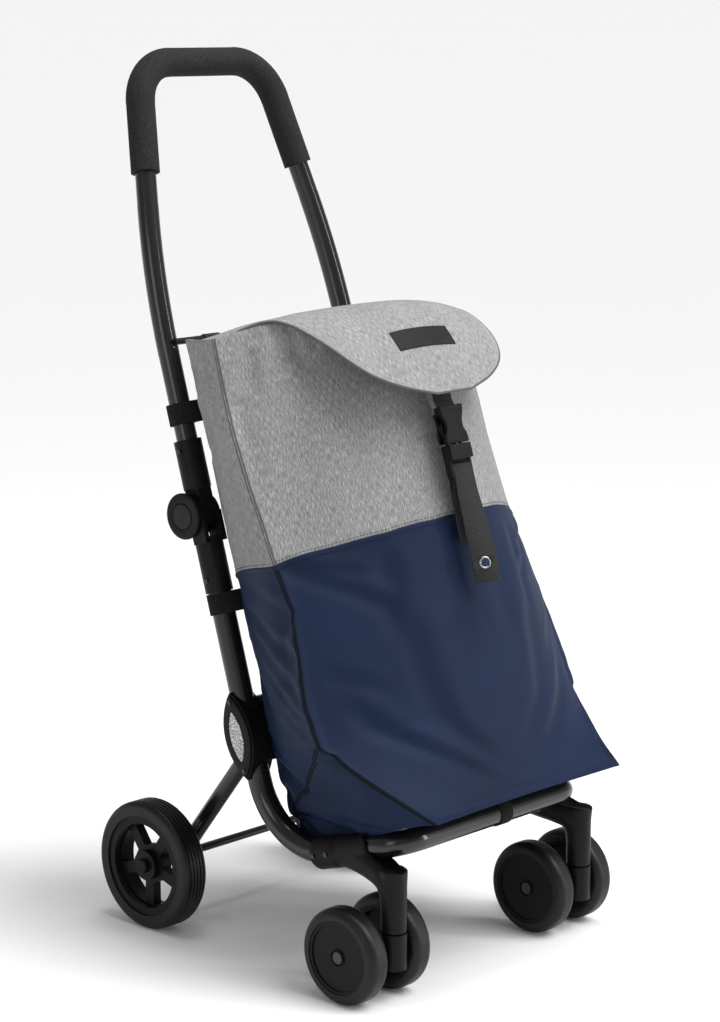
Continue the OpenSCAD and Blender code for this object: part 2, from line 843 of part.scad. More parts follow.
module foam_grip() {
    color(black_matte) lean() difference() {
        handle_upper_path(grip_d / 2, grip_start_v);
        handle_upper_path(handle_tube_d / 2 + bend_extra + fit_gap, grip_start_v - 5, 1.5);
    }
}

module hang_rod() {
    color(black_gloss) lean() at(0, 452, 15) rod_x(hang_rod_d / 2, 2 * tube_x);
}

// ---- Nodes -----------------------------------------------------------------------

main_tube(-1);  // main_tube_left
main_tube(1);  // main_tube_right
front_cross_tube();
support_wire();
hinge_lower_casing(-1);  // hinge_lower_casing_left
hinge_lower_casing(1);  // hinge_lower_casing_right
hinge_pins();
hinge_covers();
leg_housing(-1);  // leg_housing_left
leg_housing(1);  // leg_housing_right
reflector_lenses();
leg_pivot_pins();
caster_bracket(-1);  // caster_bracket_left
caster_bracket(1);  // caster_bracket_right
frame_screws();
lower_straps();
base_strap();
bag_upper_panel();
bag_lower_panel();
bag_base_board();
buckle_anchor_webbing();
handle_tube();
foam_grip();
hang_rod();
hinge_upper_casing(-1);  // hinge_upper_casing_left
hinge_upper_casing(1);  // hinge_upper_casing_right
casing_rivets();
upper_straps();
hang_loops();
release_button(-1);  // release_button_left
release_button(1);  // release_button_right
button_spring(-1);  // button_spring_left
button_spring(1);  // button_spring_right
rear_leg(-1);  // rear_leg_left
rear_leg(1);  // rear_leg_right
rear_axle();
axle_caps();
rear_rim(-1);  // rear_rim_left
rear_rim(1);  // rear_rim_right
rear_tyre(-1);  // rear_tyre_left
rear_tyre(1);  // rear_tyre_right
caster_fork(-1);  // caster_fork_left
caster_fork(1);  // caster_fork_right
caster_axle(-1);  // caster_axle_left
caster_axle(1);  // caster_axle_right
front_hub(-1, -1);  // front_hub_left_outer
front_hub(-1, 1);  // front_hub_left_inner
front_hub(1, -1);  // front_hub_right_inner
front_hub(1, 1);  // front_hub_right_outer
front_tyre(-1, -1);  // front_tyre_left_outer
front_tyre(-1, 1);  // front_tyre_left_inner
front_tyre(1, -1);  // front_tyre_right_inner
front_tyre(1, 1);  // front_tyre_right_outer
flap();
flap_patch();
flap_webbing();
buckle_female();
buckle_male();
strap_tail();
eyelet();
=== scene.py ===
"""The looks of a folding shopping trolley: materials on the CAD frame, and pieces of its
own for the fabric, webbing and mouldings that the CAD holds as plain solids."""

import json
import math

import bmesh
import bpy
import numpy as np
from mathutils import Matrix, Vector


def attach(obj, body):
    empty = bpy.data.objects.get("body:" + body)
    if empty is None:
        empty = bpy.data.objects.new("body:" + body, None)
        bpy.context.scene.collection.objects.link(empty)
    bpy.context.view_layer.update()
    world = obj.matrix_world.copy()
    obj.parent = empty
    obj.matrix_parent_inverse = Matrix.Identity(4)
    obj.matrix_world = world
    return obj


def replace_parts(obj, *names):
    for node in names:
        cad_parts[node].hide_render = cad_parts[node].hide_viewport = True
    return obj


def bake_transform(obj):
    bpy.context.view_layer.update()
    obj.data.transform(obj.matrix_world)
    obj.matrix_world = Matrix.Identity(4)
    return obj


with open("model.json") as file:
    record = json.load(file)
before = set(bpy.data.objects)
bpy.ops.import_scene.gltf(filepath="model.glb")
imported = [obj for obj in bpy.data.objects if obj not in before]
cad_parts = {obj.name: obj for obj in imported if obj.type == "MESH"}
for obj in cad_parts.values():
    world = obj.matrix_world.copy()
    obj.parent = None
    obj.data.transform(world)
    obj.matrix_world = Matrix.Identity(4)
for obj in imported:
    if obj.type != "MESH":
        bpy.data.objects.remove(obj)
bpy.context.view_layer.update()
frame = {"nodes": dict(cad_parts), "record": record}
NODES = frame["nodes"]
MM = 0.001
SEED = 7

# ---- The leaning frame --------------------------------------------------------------
# x runs across, v up along the tubes and w forward of them, in millimetres.

LEAN = math.radians(16.7)
SIN, COS = math.sin(LEAN), math.cos(LEAN)
LEAN_Y, LEAN_Z = 25.2, 280.0


def lean(points):
    """Places in the row frame, in metres, of x, v, w points of the leaning frame."""
    x, v, w = np.moveaxis(np.asarray(points, float), -1, 0)
    return np.stack([x, LEAN_Y + v * SIN - w * COS, LEAN_Z + v * COS + w * SIN], -1) * MM


# ---- Camera -------------------------------------------------------------------------

AZIMUTH, ELEVATION = math.radians(-46.8), math.radians(10.6)
CAMERA_PLACE = (-2.2468, -2.1165, 1.0894)
FOCAL_LENGTH, SENSOR_WIDTH = 92.87, 36
SHIFT_X, SHIFT_Y = 0.0039, 0.001
FAR_CLIP = 3000  # metres, past the far edge of the floor


def in_scene(name, data):
    """A new object, linked to the scene."""
    made = bpy.data.objects.new(name, data)
    bpy.context.scene.collection.objects.link(made)
    return made


def aimed(name, data, place, direction):
    """An object in the scene that looks along a direction."""
    made = in_scene(name, data)
    made.location = place
    made.rotation_mode = "QUATERNION"
    made.rotation_quaternion = Vector(direction).to_track_quat("-Z", "Y")
    return made


def make_camera():
    data = bpy.data.cameras.new("camera")
    data.sensor_width = SENSOR_WIDTH
    data.lens = FOCAL_LENGTH
    data.shift_x, data.shift_y = SHIFT_X, SHIFT_Y
    data.clip_end = FAR_CLIP
    level = math.cos(ELEVATION)
    ahead = (-math.sin(AZIMUTH) * level, math.cos(AZIMUTH) * level, -math.sin(ELEVATION))
    bpy.context.scene.camera = aimed("camera", data, CAMERA_PLACE, ahead)


make_camera()

# ---- Materials ----------------------------------------------------------------------


class Nodes:
    """A material's node tree, with a short call for each kind of node used here."""

    def __init__(self, name, base, roughness, **sockets):
        self.material = bpy.data.materials.new(name)
        self.material.use_nodes = True
        self.material.diffuse_color = (*base, 1)
        self.tree = self.material.node_tree
        self.shader = self.tree.nodes["Principled BSDF"]
        self.shader.inputs["Base Color"].default_value = (*base, 1)
        self.shader.inputs["Roughness"].default_value = roughness
        for socket, value in sockets.items():
            self.shader.inputs[socket.replace("_", " ")].default_value = value

    def node(self, kind, **settings):
        made = self.tree.nodes.new(kind)
        for name, value in settings.items():
            setattr(made, name, value)
        return made

    def link(self, source, target):
        self.tree.links.new(source, target)

    def coordinates(self, scale=(1, 1, 1), turn=0.0):
        """Object coordinates turned about x, then scaled along each axis."""
        source = self.node("ShaderNodeTexCoord")
        mapping = self.node("ShaderNodeMapping")
        mapping.inputs["Rotation"].default_value = (turn, 0, 0)
        mapping.inputs["Scale"].default_value = scale
        self.link(source.outputs["Object"], mapping.inputs["Vector"])
        return mapping.outputs["Vector"]

    def weave(self, scale):
        """A place on the flat cloth, from the UV map that the fabric pieces carry."""
        source = self.node("ShaderNodeUVMap", uv_map="weave")
        mapping = self.node("ShaderNodeMapping")
        mapping.inputs["Scale"].default_value = (*scale, 1)
        self.link(source.outputs["UV"], mapping.inputs["Vector"])
        return mapping.outputs["Vector"]

    def texture(self, made, vector, **inputs):
        self.link(vector, made.inputs["Vector"])
        for name, value in inputs.items():
            made.inputs[name].default_value = value
        return made.outputs

    def noise(self, vector, scale, detail=3.0, roughness=0.5):
        made = self.node("ShaderNodeTexNoise")
        return self.texture(made, vector, Scale=scale, Detail=detail, Roughness=roughness)["Fac"]

    def voronoi(self, vector, scale):
        return self.texture(self.node("ShaderNodeTexVoronoi"), vector, Scale=scale)["Distance"]

    def wave(self, vector, scale, axis, distortion=0.0):
        made = self.node("ShaderNodeTexWave", bands_direction=axis)
        return self.texture(made, vector, Scale=scale, Distortion=distortion)["Fac"]

    def math(self, operation, a, b):
        made = self.node("ShaderNodeMath", operation=operation)
        for socket, value in zip(made.inputs, (a, b)):
            if isinstance(value, (int, float)):
                socket.default_value = value
            else:
                self.link(value, socket)
        return made.outputs[0]

    def colour(self, factor, stops):
        made = self.node("ShaderNodeValToRGB")
        elements = made.color_ramp.elements
        while len(elements) < len(stops):
            elements.new(0.5)
        for element, (position, colour) in zip(elements, stops):
            element.position = position
            element.color = (*colour, 1)
        self.link(factor, made.inputs["Fac"])
        self.link(made.outputs["Color"], self.shader.inputs["Base Color"])

    def roughness(self, factor, low, high):
        made = self.node("ShaderNodeMapRange")
        made.inputs["To Min"].default_value = low
        made.inputs["To Max"].default_value = high
        self.link(factor, made.inputs["Value"])
        self.link(made.outputs["Result"], self.shader.inputs["Roughness"])

    def bump(self, height, strength, distance, after=None):
        made = self.node("ShaderNodeBump")
        made.inputs["Strength"].default_value = strength
        made.inputs["Distance"].default_value = distance
        self.link(height, made.inputs["Height"])
        if after is not None:
            self.link(after, made.inputs["Normal"])
        self.link(made.outputs["Normal"], self.shader.inputs["Normal"])
        return made.outputs["Normal"]


def powder_coat():
    m = Nodes("black_tube", (0.007, 0.007, 0.0075), 0.2, Specular_IOR_Level=0.5)
    where = m.coordinates()
    m.roughness(m.noise(where, 30, 4), 0.14, 0.24)
    m.bump(m.noise(where, 1200, 2), 0.04, 0.0002)
    return m.material


def moulded_plastic(name, level, rough):
    m = Nodes(name, (level,) * 3, 0.5, Specular_IOR_Level=0.13)
    where = m.coordinates()
    m.roughness(m.noise(where, 25, 4), *rough)
    m.colour(m.noise(where, 40, 3), [(0.3, (level * 0.85,) * 3), (0.7, (level * 1.2,) * 3)])
    m.bump(m.noise(where, 1300, 3, 0.7), 0.2, 0.0004)
    return m.material


def foam():
    m = Nodes("foam", (0.012, 0.012, 0.013), 0.92, Specular_IOR_Level=0.25)
    where = m.coordinates()
    m.colour(m.noise(where, 350, 4, 0.7),
             [(0.35, (0.006, 0.006, 0.0065)), (0.65, (0.018, 0.018, 0.019))])
    fine = m.bump(m.noise(where, 1100, 4, 0.8), 0.6, 0.001)
    m.bump(m.voronoi(where, 700), 0.3, 0.0008, fine)
    return m.material


def tyre_rubber():
    m = Nodes("tyre_rubber", (0.005, 0.005, 0.0053), 0.42, Specular_IOR_Level=0.25)
    where = m.coordinates()
    m.roughness(m.noise(where, 60, 5), 0.34, 0.52)
    m.bump(m.noise(where, 800, 3), 0.15, 0.0005)
    return m.material


def heather(name, shades):
    """Grey marled weave: fine light and dark yarns that run along the cloth's length."""
    m = Nodes(name, (shades[1],) * 3, 0.88, Specular_IOR_Level=0.2)
    slubs = m.noise(m.weave((950, 120)), 1, 2, 0.55)
    yarn = m.noise(m.weave((1700, 420)), 1, 2, 0.5)
    patches = m.noise(m.weave((26, 7)), 1, 3)
    mixed = m.math("ADD", m.math("MULTIPLY", slubs, 0.68), m.math("MULTIPLY", yarn, 0.32))
    mixed = m.math("ADD", mixed, m.math("MULTIPLY", m.math("SUBTRACT", patches, 0.5), 0.1))
    m.colour(mixed, list(zip((0.31, 0.5, 0.69), [(s,) * 3 for s in shades])))
    m.bump(mixed, 0.5, 0.0006)
    return m.material


def navy():
    """Smooth coated polyester with a barely visible plain weave."""
    m = Nodes("navy_fabric", (0.0055, 0.012, 0.036), 0.66, Specular_IOR_Level=0.13,
              Sheen_Weight=0.03, Sheen_Roughness=0.4)
    m.shader.inputs["Sheen Tint"].default_value = (0.15, 0.3, 0.9, 1)
    where = m.weave((1, 1))
    threads = m.math("ADD", m.wave(where, 420, "X"), m.wave(where, 420, "Y"))
    patches = m.noise(m.coordinates(), 9, 4)
    m.colour(patches, [(0.3, (0.0045, 0.0105, 0.031)), (0.7, (0.0068, 0.0148, 0.043))])
    m.roughness(patches, 0.56, 0.68)
    m.bump(threads, 0.12, 0.0003)
    return m.material


def webbing_material():
    m = Nodes("black_webbing", (0.014, 0.014, 0.0145), 0.75, Specular_IOR_Level=0.3)
    where = m.coordinates((1, 1, 1), LEAN)
    ribs = m.wave(where, 150, "Z", 0.5)
    yarns = m.wave(where, 220, "X", 0.4)
    mixed = m.math("ADD", m.math("MULTIPLY", ribs, 0.65), m.math("MULTIPLY", yarns, 0.35))
    m.colour(mixed, [(0.2, (0.005, 0.005, 0.0055)), (0.9, (0.028, 0.028, 0.029))])
    m.bump(mixed, 0.8, 0.0008)
    return m.material


def hook_and_loop():
    m = Nodes("hook_and_loop", (0.008, 0.008, 0.008), 0.95, Specular_IOR_Level=0.2)
    where = m.coordinates()
    m.colour(m.noise(where, 500, 3), [(0.3, (0.003,) * 3), (0.7, (0.015,) * 3)])
    m.bump(m.noise(where, 1400, 3, 0.8), 0.8, 0.001)
    return m.material


def reflector_material():
    """Clear lens over a fine grid of bright corner cubes."""
    m = Nodes("reflector", (0.75, 0.76, 0.78), 0.18, Metallic=0.35, Coat_Weight=0.8)
    where = m.coordinates((1, 1, 1), LEAN)
    cells = m.voronoi(where, 420)
    m.colour(cells, [(0.15, (0.92, 0.92, 0.94)), (0.55, (0.28, 0.29, 0.31))])
    m.bump(cells, 1.0, 0.002)
    return m.material


def metal(name, level, rough, grain):
    m = Nodes(name, (level, level, level * 1.02), rough, Metallic=1.0)
    where = m.coordinates()
    m.roughness(m.noise(where, grain, 4), rough * 0.8, rough * 1.35)
    m.bump(m.noise(where, grain * 8, 2), 0.08, 0.0003)
    return m.material


def thread(name, base):
    m = Nodes(name, base, 0.8)
    twist = m.wave(m.coordinates((1, 1, 1), 0.6), 900, "DIAGONAL")
    m.bump(twist, 0.4, 0.0002)
    return m.material


MATERIALS = {
    "black_tube": powder_coat(),
    "black_plastic": moulded_plastic("black_plastic", 0.005, (0.36, 0.48)),
    "foam": foam(),
    "tyre_rubber": tyre_rubber(),
    "grey_fabric": heather("grey_fabric", (0.10, 0.21, 0.40)),
    "navy_fabric": navy(),
    "black_webbing": webbing_material(),
    "reflector": reflector_material(),
    "steel": metal("steel", 0.42, 0.32, 90),
    "chrome_eyelet": metal("chrome_eyelet", 0.34, 0.2, 40),
}
# The flap's underside is a near-black heather, which paints in the shade under the flap: painted
# shade
FLAP_UNDERSIDE_SHADE = heather("flap_underside_shade", (0.02, 0.035, 0.06))
SEAM_GREY = heather("grey_seam", (0.04, 0.09, 0.17))
SEAM_NAVY = moulded_plastic("navy_seam", 0.0022, (0.7, 0.8))
HOOK_AND_LOOP = hook_and_loop()
DARK_SCREW = metal("dark_screw", 0.06, 0.3, 90)
GREY_THREAD = thread("grey_thread", (0.42, 0.42, 0.42))
NAVY_THREAD = thread("navy_thread", (0.006, 0.011, 0.034))
BLACK_THREAD = thread("black_thread", (0.02, 0.02, 0.02))
BUTTON_PLASTIC = moulded_plastic("button_plastic", 0.016, (0.32, 0.42))
RUBBER_PATCH = moulded_plastic("rubber_patch", 0.014, (0.5, 0.62))


def dress_frame():
    """Each CAD node takes the material of its slot, or a finer one of its own."""
    for row in frame["record"]["subparts"]:
        node = NODES[row["node"]]
        node.data.materials.clear()
        node.data.materials.append(MATERIALS[row["material_slot"]])
    for material, names in (
            (DARK_SCREW, ("frame_screws", "casing_rivets", "caster_axle_left",
                          "caster_axle_right")),
            (BUTTON_PLASTIC, ("release_button_left", "release_button_right"))):
        for name in names:
            NODES[name].data.materials[0] = material


dress_frame()

# ---- Grids of points ----------------------------------------------------------------


def unit(vectors):
    return vectors / np.maximum(np.linalg.norm(vectors, axis=-1, keepdims=True), 1e-12)


def refine(points, factor, axis, ring=False):
    """Points on smooth curves through the given ones, factor times as many along axis."""
    p = np.moveaxis(np.asarray(points, float), axis, 0)
    n = len(p)
    if ring:
        at = np.arange(n * factor) / factor
        k = at.astype(int)
        a, b, c, d = (p[(k + i) % n] for i in (-1, 0, 1, 2))
    else:
        at = np.arange((n - 1) * factor + 1) / factor
        k = np.minimum(at.astype(int), n - 2)
        longer = np.concatenate([[2 * p[0] - p[1]], p, [2 * p[-1] - p[-2]]])
        a, b, c, d = (longer[k + i] for i in (0, 1, 2, 3))
    t = (at - k).reshape((-1,) + (1,) * (p.ndim - 1))
    made = b + t / 2 * (c - a + t * (2 * a - 5 * b + 4 * c - d + t * (3 * (b - c) + d - a)))
    return np.moveaxis(made, 0, axis)


class Surface:
    """A grid of points, rows by columns. A ring's last column meets its first."""

    def __init__(self, points, ring=False):
        self.points, self.ring = np.asarray(points, float), ring
        self.up = np.gradient(self.points, axis=0)
        if ring:
            self.across = (np.roll(self.points, -1, 1) - np.roll(self.points, 1, 1)) / 2
        else:
            self.across = np.gradient(self.points, axis=1)
        self.normals = unit(np.cross(self.up, self.across))

    def sample(self, values, row, column):
        """Values of the grid at fractional rows and columns."""
        rows, columns = values.shape[:2]
        row = np.clip(row, 0, rows - 1.000001)
        column = column % columns if self.ring else np.clip(column, 0, columns - 1.000001)
        column = np.minimum(column, columns - 1e-9)
        r, c = row.astype(int), column.astype(int)
        s, t = (row - r)[..., None], (column - c)[..., None]
        right = (c + 1) % columns
        low = values[r, c] * (1 - t) + values[r, right] * t
        high = values[r + 1, c] * (1 - t) + values[r + 1, right] * t
        return low * (1 - s) + high * s

    def at(self, row, column, lift=0.0):
        """Points at fractional rows and columns, lifted along the normals."""
        row, column = np.broadcast_arrays(np.asarray(row, float), np.asarray(column, float))
        lift = np.broadcast_to(np.asarray(lift, float), row.shape)[..., None]
        return self.sample(self.points, row, column) + self.normal(row, column) * lift

    def normal(self, row, column):
        return unit(self.sample(self.normals, row, column))

    def beside(self, row, column):
        """The step in rows and columns that goes one metre to the left of a path."""
        ahead = np.gradient(row)[:, None], np.gradient(column)[:, None]
        up, across = (self.sample(v, row, column) for v in (self.up, self.across))
        side = np.cross(self.normal(row, column), unit(up * ahead[0] + across * ahead[1]))
        a, b = (up * up).sum(-1), (across * across).sum(-1)
        c = (up * across).sum(-1)
        d, e = (up * side).sum(-1), (across * side).sum(-1)
        det = np.maximum(a * b - c * c, 1e-18)
        return (b * d - c * e) / det, (a * e - c * d) / det


def grid_faces(rows, columns, ring=False, flip=False):
    """Quads of a grid whose points are numbered row by row."""
    faces = []
    for r in range(rows - 1):
        for c in range(columns if ring else columns - 1):
            a, b = r * columns + c, r * columns + (c + 1) % columns
            face = (a, a + columns, b + columns, b)
            faces.append(face[::-1] if flip else face)
    return faces


def shade_smooth(mesh):
    mesh.polygons.foreach_set("use_smooth", [True] * len(mesh.polygons))


def new_object(name, points, faces, material, body=None, slot=None, smooth=True):
    """A mesh piece in the row frame, shaded smooth, that rides on a body."""
    mesh = bpy.data.meshes.new(name)
    mesh.from_pydata(np.asarray(points, float).reshape(-1, 3).tolist(), [], faces)
    mesh.update()
    piece = in_scene(name, mesh)
    mesh.materials.append(material)
    if smooth:
        shade_smooth(mesh)
    if body:
        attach(piece, body)
    return piece


def modifier(piece, kind, **settings):
    made = piece.modifiers.new(kind.lower(), kind)
    for name, value in settings.items():
        setattr(made, name, value)
    return made


def joined(parts):
    """One list of points and one of faces from several (points, faces) parts."""
    points, faces = [], []
    for part_points, part_faces in parts:
        start = sum(len(p) for p in points)
        points.append(np.asarray(part_points, float).reshape(-1, 3))
        faces += [tuple(i + start for i in face) for face in part_faces]
    return np.concatenate(points), faces


# ---- Seams, stitches and straps -----------------------------------------------------

# Half a sewn seam: distance from its middle and height over the cloth, in metres
SEAM_PROFILE = [(0.0, -0.0012), (0.0007, -0.0002), (0.0016, 0.0008), (0.0030, 0.0007),
                (0.0048, -0.0003)]


def lengths(points):
    """How far along a line of points each one lies."""
    return np.concatenate([[0], np.cumsum(np.linalg.norm(np.diff(points, axis=0), axis=-1))])


def round_lengths(wall):
    """How far round its ring each point of a wall lies, and each ring's whole length."""
    step = np.linalg.norm(np.diff(wall, axis=1, append=wall[:, :1]), axis=-1)
    around = np.concatenate([np.zeros((len(wall), 1)), np.cumsum(step, 1)[:, :-1]], 1)
    return around, step.sum(1, keepdims=True)


def path_on(surface, points, count):
    """A path through (row, column) points, spread evenly, as rows and columns."""
    p = np.array(points, float)
    p = refine(p, 8, 0) if len(p) > 2 else p
    length = lengths(surface.at(p[:, 0], p[:, 1]))
    at = np.linspace(0, length[-1], count)
    return np.interp(at, length, p[:, 0]), np.interp(at, length, p[:, 1])


def seam_strip(surface, row, column, profile=SEAM_PROFILE, scale=1.0):
    """Points and faces of a seam along a path: two lips with a groove between them."""
    whole = [(-x, h) for x, h in profile[:0:-1]] + profile
    step_row, step_column = surface.beside(row, column)
    lines = [surface.at(row + x * scale * step_row, column + x * scale * step_column,
                        h * scale) for x, h in whole]
    points = np.stack(lines, 1)
    return points, grid_faces(len(row), len(whole))


def stitches(surface, row, column, offset, pitch=0.0042, thickness=0.00036, cover=0.62):
    """Small dashes of thread beside a path on a surface."""
    step_row, step_column = surface.beside(row, column)
    row, column = row + offset * step_row, column + offset * step_column
    points = surface.at(row, column, 0.0002)
    return dashes(points, surface.normal(row, column), pitch, thickness, cover)


def dashes(points, normals, pitch, thickness, cover):
    """Thread dashes along a line of points: each a flat six-sided lozenge prism."""
    length = lengths(points)
    parts = []
    for start in np.arange(0, length[-1] - pitch, pitch):
        at = start + pitch * cover * np.array([0, 0.2, 0.8, 1])
        line = np.stack([np.interp(at, length, points[:, i]) for i in range(3)], 1)
        normal = unit(np.array([np.interp(start, length, normals[:, i]) for i in range(3)]))
        side = unit(np.cross(normal, line[-1] - line[0]))
        low = [-0.5, 1, 1, -0.5]
        wide = [0.25, 1, 1, 0.25]
        rings = [[p + side * thickness * a * s + normal * thickness * (h if b else -0.6)
                  for a, b in ((-1, 0), (-0.6, 1), (0.6, 1), (1, 0))]
                 for p, s, h in zip(line, wide, low)]
        parts.append((np.array(rings), grid_faces(4, 4)))
    return joined(parts)


def strap(middle, side, normal, width, thickness, edge=0.0003):
    """A band with soft edges swept along a line of points, as points and faces."""
    half, thick = width / 2, thickness / 2
    section = [(-half + edge, -thick), (half - edge, -thick), (half, -thick + edge),
               (half, thick - edge), (half - edge, thick), (0, thick * 1.05),
               (-half + edge, thick), (-half, thick - edge), (-half, -thick + edge)]
    rings = np.stack([middle + side * a + normal * b for a, b in section], 1)
    n = len(section)
    faces = grid_faces(len(middle), n, ring=True)
    faces.append(tuple(range(n)))
    faces.append(tuple((len(middle) - 1) * n + i for i in reversed(range(n))))
    return rings, faces


def strap_frame(route, factor=6):
    """Middle, side and normal of a strap along x, v, w, turn points. The turn, in degrees,
    swings its front from forward towards the left."""
    fine = refine(np.array(route, float), factor, 0)
    middle = lean(fine[:, :3])
    ahead = unit(np.gradient(middle, axis=0))
    turn = np.radians(fine[:, 3:])
    side = np.cos(turn) * [1, 0, 0] + np.sin(turn) * [0, -COS, SIN]
    side = unit(side - ahead * (side * ahead).sum(-1, keepdims=True))
    return middle, side, np.cross(ahead, side)


def lean_strap(route, width, thickness):
    """A strap whose middle follows x, v, w points of the leaning frame."""
    return strap(*strap_frame(route), width * MM, thickness * MM)


def tube(points, radius, sides=10, closed=False):
    """A round tube along a line of points, as points and faces."""
    points = np.asarray(points, float)
    ahead = unit(np.gradient(points, axis=0))
    if closed:
        ahead = unit(np.roll(points, -1, 0) - np.roll(points, 1, 0))
    normal = np.zeros_like(points)
    normal[0] = unit(np.cross(ahead[0], [0.31, 0.67, 0.53]))
    for i in range(1, len(points)):
        normal[i] = unit(normal[i - 1] - ahead[i] * (normal[i - 1] @ ahead[i]))
    side = np.cross(ahead, normal)
    turn = np.arange(sides) * 2 * math.pi / sides
    radius = np.broadcast_to(radius, len(points))[:, None, None]
    rings = points[:, None] + radius * (
        normal[:, None] * np.cos(turn)[:, None] + side[:, None] * np.sin(turn)[:, None])
    n = len(points)
    faces = grid_faces(n, sides, ring=True)
    if closed:
        last = (n - 1) * sides
        faces += [(last + i, i, (i + 1) % sides, last + (i + 1) % sides) for i in range(sides)]
    else:
        faces += [tuple(range(sides)), tuple((n - 1) * sides + i for i in reversed(range(sides)))]
    return rings, faces

# ---- Bag ----------------------------------------------------------------------------

BACK_W, BACK_HALF = 18, 134
RIM_V, FLOOR_V, JOIN_V, CORNER_V = 430, -140, 175, -30
FRONT_POWER = 1.9
# Height v, then x and w of the side seam, w of the front's middle, x and w of the side fold
BAG_ROWS = [
    (-140, 168, 266, 258, 135, 64),
    (-110, 182, 244, 264, 135, 34),
    (-85, 195, 225, 266, 136, 28),
    (-60, 208, 206, 268, 140, 28),
    (-32, 221, 186, 269, 145, 34),
    (-20, 221, 184, 270, 146, 36),
    (20, 222, 178, 271, 152, 44),
    (60, 218, 176, 272, 154, 50),
    (120, 210, 172, 272, 156, 56),
    (175, 207, 162, 271, 158, 58),
    (230, 207, 155, 270, 158, 58),
    (270, 209, 149, 268, 158, 56),
    (330, 211, 142, 264, 158, 56),
    (380, 208, 138, 252, 160, 52),
    (430, 203, 132, 238, 165, 46),
]
# Columns of half the ring: along the back, to the side fold, to the seam, to the front
BACK_N, FOLD_N, SIDE_N, FRONT_N = 12, 5, 11, 24
SEAM_COLUMN = BACK_N + FOLD_N + SIDE_N
CORNER_COLUMN = BACK_N
LOWER_N, UPPER_N = 34, 27
FINE = 3


def bag_values(v):
    """The seam's x and w, the front's w and the side fold's x and w at height v."""
    coarse = np.array(BAG_ROWS, float)
    fine = refine(coarse, 12, 0)
    seam = [np.interp(v, coarse[:, 0], coarse[:, i]) for i in (1, 2)]
    return seam + [np.interp(v, fine[:, 0], fine[:, i]) for i in (3, 4, 5)]


def half_ring(v):
    """Points of the bag's right half at height v, from the back's middle to the front's."""
    seam_x, seam_w, front_w, fold_x, fold_w = bag_values(v)
    back = [(BACK_HALF * t, BACK_W) for t in np.arange(BACK_N) / BACK_N]
    fold = [(BACK_HALF + (fold_x - BACK_HALF) * t, BACK_W + (fold_w - BACK_W) * t)
            for t in np.arange(FOLD_N) / FOLD_N]
    side = [(fold_x + (seam_x - fold_x) * t + 5 * math.sin(math.pi * t) * t,
             fold_w + (seam_w - fold_w) * t) for t in np.arange(SIDE_N) / SIDE_N]
    front = []
    for t in np.arange(FRONT_N + 1) / FRONT_N:
        x = seam_x * (1 - t)
        front.append((x, front_w + (seam_w - front_w) * (x / seam_x) ** FRONT_POWER))
    return np.array([(x, v, w) for x, w in back + fold + side + front])


def bag_ring(v):
    half = half_ring(v)
    mirrored = half[-2:0:-1] * (-1, 1, 1)
    return np.concatenate([half, mirrored])


def bag_cloth():
    """The bag's wall as rows by columns of lean-frame points. Columns go round to the right."""
    heights = np.concatenate([
        np.linspace(FLOOR_V, JOIN_V, LOWER_N + 1), np.linspace(JOIN_V, RIM_V, UPPER_N + 1)[1:]])
    cloth = np.array([bag_ring(v) for v in heights])
    x, v, w = (cloth[..., i].copy() for i in range(3))
    front = np.clip((w - 150) / 110, 0, 1)
    # The join rises a little over the front, more to the right
    rise = front * (12 + 5 * np.clip(x / 200, -1, 1))
    cloth[..., 1] += rise * np.exp(-((v - JOIN_V) / 95) ** 2)
    # The rim reaches up at the sides to the flap's underside, and is low at the front
    top = np.clip((v - 330) / 100, 0, 1) ** 2
    places = (18, 28, 50, 80, 110, 134, 150, 171, 186, 200, 240)
    left = np.interp(w, places, (12, 18, 19, 13, 8, 5, 9, 12, 8, 1, -16))
    right = np.interp(w, places, (12, 14, 13, 10, 6, 1, 0, -4, -8, -9, -16))
    reach = np.where(x < 0, left, right)
    cloth[..., 1] += reach * top
    # The underside sags between the tubes, behind the front corners
    low = np.clip((-60 - v) / 80, 0, 1) ** 2
    sag = np.interp(w, (18, 60, 150, 240, 262), (4, 15, 12, 4, 6))
    cloth[..., 1] -= sag * low
    # The front corners reach forward, and the left one is pulled in
    corner = np.clip((w - 200) / 66, 0, 1) * low
    cloth[..., 2] += 5 * corner
    cloth[..., 0] += np.where(x < 0, 12, 2) * corner * np.clip(np.abs(x) / 168, 0, 1)
    # Round the back corners, and leave the seams sharp
    for _ in range(2):
        round_it = (np.roll(cloth, 1, 1) + 2 * cloth + np.roll(cloth, -1, 1)) / 4
        keep = np.ones(cloth.shape[1], bool)
        keep[[CORNER_COLUMN + i for i in (-1, 0, 1)]] = False
        keep[[-CORNER_COLUMN + i for i in (-1, 0, 1)]] = False
        cloth = np.where(keep[:, None], cloth, round_it)
    return cloth


HANG_FRAMES = 22
MOST_MOVED = 0.008  # metres that the hanging may move the cloth
SEAM_HOLD, CORNER_HOLD, BACK_HOLD = 0.35, 0.5, 0.3


